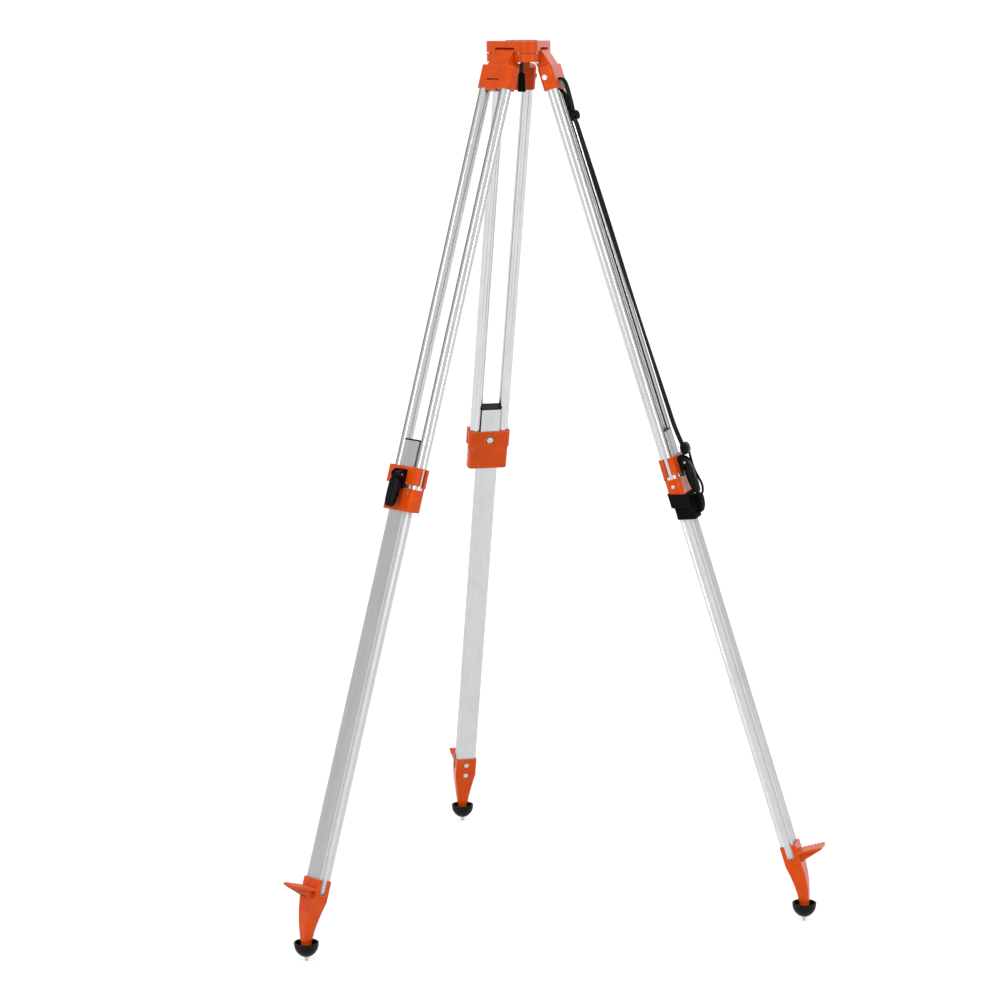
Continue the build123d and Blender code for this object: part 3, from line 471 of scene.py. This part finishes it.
def orange_paint():
    """Glossy orange enamel with slight orange peel, a little dust, rubbed and chipped edges, and a painted
    highlight along the edges.
    """
    s = Surface("orange_paint").set(Coat_Weight=0.18, Coat_Roughness=0.06, Specular_IOR_Level=0.36,
                                    Specular_Tint=opaque(PAINT_SHEEN))
    normal, edge_mask = s.edges(0.0022)
    cloud = s.noise(55.0, 4.0)
    speck = s.noise(700.0, 2.0)
    tone = s.mix(s.ramp(cloud, 0.35, 0.7), PAINT_DEEP, PAINT_BRIGHT)
    dusty = s.mix(s.ramp(s.noise(16.0, 6.0, 0.7), 0.55, 0.8, 0.0, 0.16), tone, PAINT_DUSTY)
    # the edges are lightened, partly as rubbed paint and partly as a painted highlight on the rounded
    # corners
    rubbed_and_highlight = s.mix(s.math("MULTIPLY", edge_mask, s.ramp(cloud, 0.3, 0.75, 0.25, 0.6)), dusty, PAINT_RUBBED_AND_HIGHLIGHT)
    chip = s.math("MULTIPLY", edge_mask, s.ramp(s.noise(380.0, 3.0), 0.60, 0.68))
    colour = s.mix(chip, rubbed_and_highlight, PAINT_CHIPPED)
    peel = s.bump(s.noise(1150.0, 1.0), 0.00012, 0.28, normal)
    rough = s.math("ADD", s.ramp(cloud, 0.3, 0.7, 0.26, 0.38), s.ramp(speck, 0.5, 0.8, 0.0, 0.10))
    return s.wire(Base_Color=colour, Roughness=rough, Normal=peel)


def aluminium(name, azimuth, tone, rough, stretch, bump):
    """Drawn or anodised aluminium with fine lines along the leg."""
    s = Surface(name).set(Metallic=1.0)
    along = s.along_leg(azimuth, stretch)
    lines = s.noise(900.0, 3.0, 0.6, along)
    bands = s.noise(90.0, 2.0, 0.5, along)
    smudge = s.noise(14.0, 5.0, 0.65)
    colour = s.mix(s.ramp(lines, 0.35, 0.65), tuple(0.86 * c for c in tone), tone)
    colour = s.mix(s.ramp(smudge, 0.5, 0.85, 0.0, 0.35), colour, tuple(0.72 * c for c in tone))
    drawn = s.bump(lines, 0.00006, bump)
    fine = s.math("ADD", s.ramp(bands, 0.3, 0.7, rough * 0.8, rough * 1.25),
                  s.ramp(smudge, 0.45, 0.8, 0.0, 0.12))
    return s.wire(Base_Color=colour, Roughness=fine, Normal=drawn)


def metal(name, tone, rough, grain):
    """Small turned or plated metal pieces."""
    s = Surface(name).set(Metallic=1.0)
    normal, edge_mask = s.edges(0.0004)
    spots = s.noise(grain, 4.0)
    colour = s.mix(s.ramp(spots, 0.35, 0.7), tuple(0.8 * c for c in tone), tone)
    colour = s.mix(s.math("MULTIPLY", edge_mask, 0.5), colour, tuple(min(1.0, 1.25 * c) for c in tone))
    return s.wire(Base_Color=colour, Roughness=s.ramp(spots, 0.3, 0.75, rough * 0.75, rough * 1.4),
                  Normal=s.bump(spots, 0.00005, 0.3, normal))


def screw_steel():
    """Plated steel whose long sleeve below the head is blackened."""
    s = Surface("screw_steel")
    height = add_node(s.tree, "ShaderNodeSeparateXYZ", [(0, s.coords)]).outputs[2]
    black = s.ramp(height, SLEEVE_TOP_Z, SLEEVE_TOP_Z - SLEEVE_BLEND)
    spots = s.noise(420.0, 4.0)
    plated = s.mix(s.ramp(spots, 0.35, 0.7), STEEL_SHADE, STEEL)
    sleeve = s.mix(s.ramp(spots, 0.35, 0.7), *SLEEVE_BLACKS)
    return s.wire(Base_Color=s.mix(black, plated, sleeve), Metallic=s.ramp(black, 0.0, 1.0, 1.0, 0.0),
                  Roughness=s.ramp(spots, 0.3, 0.75, 0.22, 0.38), Normal=s.bump(spots, 0.00005, 0.3))


def black_plastic():
    """Moulded black plastic with a fine grain and paler worn edges."""
    s = Surface("black_plastic").set(Specular_IOR_Level=0.03, Coat_Weight=0.14, Coat_Roughness=0.09)
    normal, edge_mask = s.edges(0.0006)
    grain = add_node(s.tree, "ShaderNodeTexVoronoi", [(0, s.coords), ("Scale", 1500.0)]).outputs[0]
    cloud = s.noise(60.0, 4.0)
    colour = s.mix(s.ramp(cloud, 0.3, 0.75), *PLASTIC_BLACKS)
    rub = s.math("MULTIPLY", edge_mask, s.ramp(s.noise(300.0), 0.4, 0.7, 0.1, 0.6))
    colour = s.mix(rub, colour, PLASTIC_WORN)
    return s.wire(Base_Color=colour, Roughness=s.ramp(cloud, 0.3, 0.7, 0.28, 0.44),
                  Normal=s.bump(grain, 0.00008, 0.35, normal))


def rubber():
    """Mottled, pitted and slightly dusty rubber."""
    s = Surface("rubber").set(Specular_IOR_Level=0.04, Coat_Weight=0.16, Coat_Roughness=0.10)
    mottle = s.noise(190.0, 6.0, 0.68)
    pits = s.noise(900.0, 3.0)
    dust = s.noise(45.0, 5.0, 0.7)
    colour = s.mix(s.ramp(mottle, 0.42, 0.66), *RUBBER_BLACKS)
    colour = s.mix(s.ramp(dust, 0.58, 0.80, 0.0, 0.35), colour, RUBBER_DUST)
    rough = s.ramp(mottle, 0.35, 0.7, 0.24, 0.50)
    normal = s.bump(pits, 0.00012, 0.4, s.bump(mottle, 0.0003, 0.35))
    return s.wire(Base_Color=colour, Roughness=rough, Normal=normal)


def webbing():
    """Woven webbing: ribs across and threads along, laid out by the band's own UVs in metres."""
    s = Surface("webbing").set(Specular_IOR_Level=0.04)
    uv = add_node(s.tree, "ShaderNodeUVMap", uv_map="weave").outputs[0]
    split = add_node(s.tree, "ShaderNodeSeparateXYZ", [(0, uv)])
    across, along = split.outputs[0], split.outputs[1]
    thread = s.math("SINE", s.math("MULTIPLY", across, 2 * math.pi / WEAVE_THREAD))
    slant = s.math("SINE", s.math("MULTIPLY", across, math.pi / WEAVE_THREAD))
    lean = s.math("MULTIPLY", slant, WEAVE_LEAN)
    rib = s.math("SINE", s.math("MULTIPLY", s.math("ADD", along, lean), 2 * math.pi / WEAVE_RIB))
    fuzz = s.noise(2600.0, 2.0)
    weave = s.math("ADD", s.math("MULTIPLY", thread, rib), s.math("MULTIPLY", fuzz, 0.8))
    shade = s.ramp(weave, -1.0, 1.6)
    colour = s.mix(shade, *FABRIC_BLACKS)
    colour = s.mix(s.ramp(s.noise(22.0, 5.0), 0.5, 0.8, 0.0, 0.3), colour, FABRIC_DUST)
    return s.wire(Base_Color=colour, Roughness=s.ramp(shade, 0.0, 1.0, 0.85, 0.6),
                  Normal=s.bump(weave, 0.00025, 0.7))


def loop_tape():
    """The fuzzy face of hook-and-loop tape."""
    s = Surface("loop_tape").set(Specular_IOR_Level=0.04)
    fluff = s.noise(1500.0, 5.0, 0.75)
    clump = s.noise(260.0, 4.0)
    both = s.math("ADD", fluff, s.math("MULTIPLY", clump, 0.7))
    colour = s.mix(s.ramp(both, 0.55, 1.15), *FABRIC_BLACKS)
    return s.wire(Base_Color=colour, Roughness=s.ramp(clump, 0.3, 0.7, 0.7, 0.95),
                  Normal=s.bump(both, 0.0005, 0.8))


# ---------------------------------------------------------------- leg coordinates
def leg_matrix(leg):
    """The leg's own frame: X outward, Y tangential, Z up the leg, origin on its hinge."""
    turn = Matrix.Rotation(math.radians(LEGS[leg]), 4, "Z")
    return turn @ Matrix.Translation((HINGE_R, 0, HINGE_Z)) @ Matrix.Rotation(-TILT, 4, "Y")


def leg_direction(leg, direction):
    """A direction of the leg's own frame, in the world."""
    return leg_matrix(leg).to_3x3() @ Vector(direction)


def on_leg(leg, off, side, down):
    """A point off the leg's centre line, to its side, and down from its datum, all in millimetres."""
    return leg_matrix(leg) @ Vector((DATUM_OUT + off * MM, side * MM, DATUM_UP - down * MM))


def course_on_leg(leg, course, side, step):
    """A smooth path through (off, down) pairs at one side of the leg."""
    return smooth_path([on_leg(leg, off, side, down) for off, down in course], step)


# ---------------------------------------------------------------- mesh kit
def new_piece(name, verts, faces, material, body, uvs=None, smooth=True):
    """A mesh object that rides a body and fills a material slot."""
    mesh = bpy.data.meshes.new(name)
    mesh.from_pydata([tuple(v) for v in verts], [], faces)
    if uvs is not None:
        layer = mesh.uv_layers.new(name="weave")
        for loop in mesh.loops:
            layer.data[loop.index].uv = uvs[loop.vertex_index]
    work = bmesh.new()
    work.from_mesh(mesh)
    bmesh.ops.recalc_face_normals(work, faces=work.faces)
    work.to_mesh(mesh)
    work.free()
    mesh.polygons.foreach_set("use_smooth", [smooth] * len(mesh.polygons))
    mesh.materials.append(material)
    piece = bpy.data.objects.new(name, mesh)
    bpy.context.scene.collection.objects.link(piece)
    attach(piece, body)
    return piece


def soften(piece, width):
    """Rounds a piece's edges."""
    bevel = piece.modifiers.new("edges", "BEVEL")
    bevel.width = width
    bevel.segments = EDGE_SEGMENTS
    bevel.limit_method = "ANGLE"
    bevel.angle_limit = math.radians(EDGE_ANGLE)
    bevel.harden_normals = True


def tube_faces(rings, count, closed=False):
    """Quads between rings of count points; the last ring joins the first, or both ends are capped."""
    faces = []
    for i in range(rings if closed else rings - 1):
        here, there = i * count, (i + 1) % rings * count
        for j in range(count):
            k = (j + 1) % count
            faces.append((here + j, here + k, there + k, there + j))
    if not closed:
        faces.append(tuple(range(count)))
        faces.append(tuple(range((rings - 1) * count, rings * count))[::-1])
    return faces


def lathe(name, profile, centre, segments, material, body, flutes=None):
    """A turned piece about an upright axis. flutes is (count, depth, low z, high z) or None."""
    verts = []
    for i in range(segments):
        angle = 2 * math.pi * i / segments
        for radius, z in profile:
            if flutes and flutes[2] < z < flutes[3]:
                fade = math.sin(math.pi * (z - flutes[2]) / (flutes[3] - flutes[2])) ** FLUTE_FADE
                radius -= flutes[1] * fade * (0.5 + 0.5 * math.cos(flutes[0] * angle)) ** 2
            verts.append((centre[0] + radius * math.cos(angle), centre[1] + radius * math.sin(angle), z))
    faces = tube_faces(segments, len(profile), closed=True)
    return new_piece(name, verts, faces, material, body)


def outline_piece(name, points, half_width, edge, matrix, material, body):
    """A side outline of (out, up) pairs in the XZ plane of matrix, extruded to both sides and softened."""
    count = len(points)
    verts = [matrix @ Vector((x, side, z)) for side in (-half_width, half_width) for x, z in points]
    faces = [tuple(range(count)), tuple(range(count, 2 * count))[::-1]]
    faces += [(i, (i + 1) % count, count + (i + 1) % count, count + i) for i in range(count)]
    soften(new_piece(name, verts, faces, material, body), edge)


def smooth_path(points, step):
    """A Catmull-Rom curve through the points, sampled about a step apart."""
    ends = [points[0] * 2 - points[1]] + list(points) + [points[-1] * 2 - points[-2]]
    path = []
    for i in range(1, len(ends) - 2):
        a, b, c, d = ends[i - 1:i + 3]
        count = max(2, round((c - b).length / step))
        for j in range(count):
            t = j / count
            path.append(0.5 * (2 * b + (c - a) * t + (2 * a - 5 * b + 4 * c - d) * t * t
                               + (3 * b - a - 3 * c + d) * t * t * t))
    path.append(points[-1].copy())
    return path


def path_direction(path, i, closed=False):
    """The unit direction of a path at its point i."""
    before = path[i - 1] if i > 0 or closed else path[i]
    after = path[(i + 1) % len(path)] if i < len(path) - 1 or closed else path[i]
    return (after - before).normalized()


def band(name, path, side, size, material, body, twist=None):
    """Webbing of a (width, thickness) along a path; its width lies along side, turned by twist(share)."""
    section = BAND_FACE + [(w, -h) for w, h in BAND_FACE[::-1]]
    width, thickness = size
    verts, uvs = [], []
    run = 0.0
    for i, point in enumerate(path):
        along = path_direction(path, i)
        across = (side - along * side.dot(along)).normalized()
        if twist:
            across = Matrix.Rotation(twist(i / (len(path) - 1)), 3, along) @ across
        normal = along.cross(across)
        if i:
            run += (point - path[i - 1]).length
        for w, h in section:
            verts.append(point + across * (w * width) + normal * (h * thickness))
            uvs.append((w * width, run))
    return new_piece(name, verts, tube_faces(len(path), len(section)), material, body, uvs)


def rounded_section(half_a, half_b, squareness, count):
    """Points round a section, as (a, b) pairs; squareness is 1 for an ellipse and near 0 for a box."""
    points = []
    for j in range(count):
        angle = 2 * math.pi * j / count
        ca, sa = math.cos(angle), math.sin(angle)
        points.append((half_a * math.copysign(abs(ca) ** squareness, ca),
                       half_b * math.copysign(abs(sa) ** squareness, sa)))
    return points


def rounded_rectangle(half_a, half_b, radius):
    """Points round a rectangle with round corners, anticlockwise, as (a, b) pairs."""
    points = []
    for quarter, (sa, sb) in enumerate(((1, 1), (-1, 1), (-1, -1), (1, -1))):
        for i in range(CORNER_STEPS + 1):
            angle = math.pi / 2 * (quarter + i / CORNER_STEPS)
            points.append((sa * (half_a - radius) + radius * math.cos(angle),
                           sb * (half_b - radius) + radius * math.sin(angle)))
    return points


def bar(name, path, radii, normal, material, body, closed):
    """A moulded bar of oval section along a path; normal is the direction of its first radius."""
    verts = []
    for i, point in enumerate(path):
        other = path_direction(path, i, closed).cross(normal).normalized()
        for a, b in rounded_section(*radii, BAR_SQUARENESS, BAR_POINTS):
            verts.append(point + normal * a + other * b)
    faces = tube_faces(len(path), BAR_POINTS, closed)
    return new_piece(name, verts, faces, material, body)


# ---------------------------------------------------------------- pieces
def dress_cad_nodes(by_slot, by_leg, screw):
    """Materials for the CAD nodes, by slot, and by leg for the aluminium, whose lines follow the leg."""
    slots = {s["node"]: s["material_slot"] for s in frame["record"]["subparts"]}
    for name, node in frame["nodes"].items():
        slot = slots[name]
        if slot in by_leg:
            leg = next((leg for leg in LEGS if name.startswith(leg)), HEAD_LINES_LEG)
            material = by_leg[slot][leg]
        elif name == "fixing_screw":
            material = screw
        else:
            material = by_slot.get(slot, by_slot["black_plastic"])
        node.data.materials.clear()
        node.data.materials.append(material)


def handle_stations():
    """Sections down the lever's handle about a millimetre apart, as HANDLE_CORNERS has them."""
    stations = []
    for first, second in zip(HANDLE_CORNERS, HANDLE_CORNERS[1:]):
        count = max(1, round(second[0] - first[0]))
        for j in range(count):
            stations.append(tuple(a + (b - a) * j / count for a, b in zip(first, second)))
    return stations + [HANDLE_CORNERS[-1]]


def make_handle(leg, plastic):
    """A lever's crowned handle, with a long hollow in its front face."""
    verts = []
    stations = handle_stations()
    for down, back, front, half in stations:
        hollow = 0.0
        if HOLLOW_START < down < HOLLOW_START + HOLLOW_LENGTH:
            hollow = math.sin(math.pi * (down - HOLLOW_START) / HOLLOW_LENGTH) ** 0.5
        for a, b in rounded_section((front - back) / 2, half, HANDLE_SQUARENESS, HANDLE_POINTS):
            dish = HOLLOW_DEPTH * hollow * max(0.0, 1 - (b / HOLLOW_HALF_WIDTH) ** 4) if a > 0 else 0.0
            verts.append(on_leg(leg, (front + back) / 2 + a - dish, b, down))
    faces = tube_faces(len(stations), HANDLE_POINTS)
    return new_piece(f"{leg}_lever_handle", verts, faces, plastic, f"{leg}_lever")


def make_levers(plastic):
    """The cam levers: a handle, and a neck from it to the cam's eye."""
    neck = [(DATUM_OUT + off * MM, DATUM_UP - down * MM) for off, down in NECK_OUTLINE]
    for leg in LEGS:
        handle = make_handle(leg, plastic)
        outline_piece(f"{leg}_lever_cam", neck, NECK_HALF_WIDTH * MM, NECK_EDGE * MM, leg_matrix(leg),
                      plastic, f"{leg}_lever")
        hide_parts(f"{leg}_lever")
        make_bearing_block(leg, plastic)


def ear_outline():
    """A bearing ear from its side, in the leg's own frame: a shoulder, an arc about the pivot and a web."""
    pivot_x = DATUM_OUT + LEVER_PIVOT[0] * MM
    pivot_z = DATUM_UP - LEVER_PIVOT[1] * MM
    start, end = EAR_ARC
    arc = []
    for i in range(EAR_ARC_STEPS + 1):
        angle = math.radians(start + (end - start) * i / EAR_ARC_STEPS)
        arc.append((EAR_RADIUS * math.cos(angle), EAR_RADIUS * math.sin(angle)))
    return [(pivot_x + x * MM, pivot_z + z * MM) for x, z in EAR_SHOULDER + arc + EAR_WEB]


def make_bearing_block(leg, plastic):
    """The bearing block under the lever: a plate on the clamp and two ears that carry the pin."""
    body = f"{leg}_upper_leg"
    for side, name in ((-EAR_SIDE, "near"), (EAR_SIDE, "far")):
        place = leg_matrix(leg) @ Matrix.Translation((0, side * MM, 0))
        outline_piece(f"{leg}_lever_ear_{name}", ear_outline(), EAR_HALF_WIDTH * MM, EAR_EDGE * MM, place,
                      plastic, body)
    outer = [(a, b + PLATE_DROP) for a, b in rounded_rectangle(*PLATE_HALVES, PLATE_CORNER)]
    window = rounded_rectangle(*WINDOW_HALVES, WINDOW_CORNER)
    back, front = PLATE_OFFS
    rings = [(outer, back), (outer, front), (window, front), (window, back)]
    verts = [on_leg(leg, off, a, LEVER_PIVOT[1] + b) for ring, off in rings for a, b in ring]
    faces = tube_faces(len(rings), len(outer), closed=True)
    base = new_piece(f"{leg}_lever_plate", verts, faces, plastic, body, smooth=False)
    soften(base, PLATE_EDGE * MM)
    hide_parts(f"{leg}_lever_base")


def quarter_bowl(foot, spread, steps, power=1.0):
    """(radius, height) points up a bowl's wall, from its foot to where it stands upright."""
    points = []
    for i in range(steps + 1):
        angle = math.radians(90.0 * i / steps)
        points.append((foot[0] + spread[0] * math.sin(angle) ** power,
                       foot[1] + spread[1] * (1 - math.cos(angle))))
    return points


def boot_profile():
    """Round a boot's wall: out from the socket's foot, up the ringed bowl, over the rim and down inside."""
    outer = []
    for i, (radius, z) in enumerate(quarter_bowl(BOOT_FOOT, BOOT_BOWL, BOOT_STEPS, BOOT_FULLNESS)):
        ring = BOOT_RING_DEPTH * max(0.0, math.sin(i * BOOT_RING_PACE)) if i in BOOT_RING_STEPS else 0.0
        outer.append((radius + ring, z))
    inner = quarter_bowl(BOOT_FLOOR, BOOT_HOLLOW, BOOT_HOLLOW_STEPS)[::-1]
    return [BOOT_SOCKET_FOOT] + outer + BOOT_RIM + inner + [BOOT_SOCKET_TOP]


def make_boots(material):
    """Rubber bowls with a rolled rim, moulded rings and a thick socket round the spike."""
    profile = boot_profile()
    for leg, azimuth in LEGS.items():
        angle = math.radians(azimuth)
        centre = (SPIKE_R * math.cos(angle), SPIKE_R * math.sin(angle))
        boot = lathe(f"{leg}_boot_rubber", profile, centre, BOOT_SEGMENTS, material, f"{leg}_lower_leg")
        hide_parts(f"{leg}_boot")


def make_grip(plastic):
    """The flared grip with a round shoulder, soft flutes and a rolled lower lip."""
    flare = []
    for i in range(GRIP_STEPS + 1):
        share = i / GRIP_STEPS
        flare.append((GRIP_TOP[0] + GRIP_FLARE[0] * share ** GRIP_FLARE_POWER,
                      GRIP_TOP[1] - GRIP_FLARE[1] * share))
    profile = GRIP_SHOULDER + flare + GRIP_LIP
    grip = lathe("screw_grip_moulding", profile, (0.0, 0.0), GRIP_SEGMENTS, plastic, "fixing_screw",
                 flutes=GRIP_FLUTES)
    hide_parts("screw_grip")


def run_twist(share):
    """The slight lie of the strap's long run: its turn about its own course, none at either end."""
    return RUN_LIE * math.sin(math.pi * share) * math.sin(RUN_LIE_WAVES * 2 * math.pi * share)


def make_strap(web, plastic):
    """The carrying strap: its loop at the bracket, long run, fold at the slider, thin tail and end tab."""
    leg = STRAP_LEG
    body = f"{leg}_upper_leg"
    side = leg_direction(leg, (0, 1, 0))
    loop_path = course_on_leg(leg, LOOP_COURSE, 0.0, COURSE_STEP)
    run_path = course_on_leg(leg, RUN_COURSE, 0.0, RUN_STEP)
    fold_path = course_on_leg(leg, FOLD_COURSE, 0.0, FOLD_STEP)
    tail_path = course_on_leg(leg, TAIL_COURSE, TAIL_SIDE, COURSE_STEP)
    tab_path = course_on_leg(leg, TAB_COURSE, 0.0, FOLD_STEP)
    first = band("strap_loop", loop_path, side, WEBBING_SIZE, web, body)
    band("strap_run", run_path, side, WEBBING_SIZE, web, body, run_twist)
    band("strap_fold", fold_path, side, WEBBING_SIZE, web, body)
    band("strap_tail", tail_path, side, TAIL_SIZE, web, body)
    band("strap_end_tab", tab_path, side, TAB_SIZE, web, body)
    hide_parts("carry_strap")
    make_slider(plastic, body)
    make_end_fitting(plastic, body)


def make_slider(plastic, body):
    """The three-bar slider on the strap."""
    leg = STRAP_LEG
    off, down = SLIDER_CENTRE
    normal = leg_direction(leg, (1, 0, 0)).normalized()
    ring = [on_leg(leg, off, a, down + b) for a, b in rounded_rectangle(*SLIDER_HALVES, SLIDER_CORNER)]
    outer = bar("strap_slider_frame", ring, SLIDER_FRAME_RADII, normal, plastic, body, True)
    cross = [on_leg(leg, off, side, down) for side in SLIDER_BAR_SIDES]
    bar("strap_slider_bar", cross, SLIDER_BAR_RADII, normal, plastic, body, False)
    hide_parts("strap_slider")


def make_end_fitting(plastic, body):
    """The rounded moulded fitting on the strap's lower end, with a parting line and two shallow grooves."""
    off, down = FITTING_CENTRE
    near, far = FITTING_SIDES
    verts = []
    for i in range(FITTING_RINGS):
        share = i / (FITTING_RINGS - 1)
        from_middle = abs(share - 0.5)
        side = near + (far - near) * share
        round_off = (1.0 - (2 * from_middle) ** FITTING_END_POWER) ** 0.5
        scale = FITTING_END_SCALE + (1.0 - FITTING_END_SCALE) * round_off
        if from_middle < FITTING_PARTING or abs(from_middle - FITTING_GROOVE) < FITTING_GROOVE_HALF:
            scale *= FITTING_GROOVE_SCALE
        half_off, half_down = (half * scale for half in FITTING_HALVES)
        for a, b in rounded_section(half_off, half_down, FITTING_SQUARENESS, FITTING_POINTS):
            verts.append(on_leg(STRAP_LEG, off + a, side, down + b))
    faces = tube_faces(FITTING_RINGS, FITTING_POINTS)
    fitting = new_piece("strap_end_fitting", verts, faces, plastic, body)
    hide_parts("strap_buckle")


def binding_turn(half_off, half_side, corner, centre, down, sag):
    """One turn and a little more, growing outward so that it lies on itself, and lower at the front."""
    ring = rounded_rectangle(half_off, half_side, corner)
    total = len(ring) + TURN_OVERLAP
    points = []
    for i in range(total):
        a, b = ring[(TURN_START + i) % len(ring)]
        growth = TURN_GROWTH * i / total
        wave = sag * math.sin(2 * math.pi * i / len(ring)) + TURN_FRONT_DROP * (1 + a / half_off)
        points.append(on_leg(STRAP_LEG, centre + a * (1 + growth), b * (1 + growth / 2), down + wave))
    return points


def binding_layer(k):
    """The closed course of one of the folded tail's layers, from the outermost (0) inward."""
    shrink = 1.0 - LAYER_SHRINK * k
    off_centre, down_centre = LAYER_CENTRE
    course = [(off_centre + (off - off_centre) * shrink, down_centre + (down - down_centre) * shrink)
              for off, down in LAYER_OUTLINE]
    return course_on_leg(STRAP_LEG, course + course[:2], BINDING_SIDE + LAYER_SHIFT * k, COURSE_STEP)


def make_binding(web, fuzzy):
    """The binding strap: a turn round the collar, one round the lower leg, and its folded tail in front."""
    leg = STRAP_LEG
    body = f"{leg}_upper_leg"
    down_leg = leg_direction(leg, (0, 0, -1)).normalized()
    side = leg_direction(leg, (0, 1, 0))
    wrap = band("binding_upper_turn", binding_turn(*UPPER_TURN), down_leg, UPPER_TURN_SIZE, fuzzy, body)
    band("binding_lower_turn", binding_turn(*LOWER_TURN), down_leg, LOWER_TURN_SIZE, web, body)
    tail = course_on_leg(leg, BINDING_TAIL, BINDING_SIDE, FOLD_STEP)
    band("binding_tail", tail, side, BINDING_TAIL_SIZE, fuzzy, body)
    width, thickness = LAYER_SIZE
    for k in range(LAYER_COUNT):
        size = (width - LAYER_NARROWING * k, thickness)
        band(f"binding_layer_{k}", binding_layer(k), side, size, fuzzy, body)
    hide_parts("binding_strap")


def make_object():
    """Materials for the CAD nodes, and the Blender shapes that stand in for some of them."""
    by_slot = {"orange_paint": orange_paint(),
               "steel": metal("steel", STEEL, 0.28, 420.0),
               "brass": metal("brass", BRASS, 0.30, 300.0),
               "black_plastic": black_plastic()}
    web = webbing()
    by_leg = {slot: {leg: aluminium(f"{slot}_{leg}", azimuth, *finish) for leg, azimuth in LEGS.items()}
              for slot, finish in ALUMINIUM.items()}
    dress_cad_nodes(by_slot, by_leg, screw_steel())
    plastic = by_slot["black_plastic"]
    make_levers(plastic)
    make_boots(rubber())
    make_grip(plastic)
    make_strap(web, plastic)
    make_binding(web, loop_tape())


make_camera()
make_stage()
make_object()
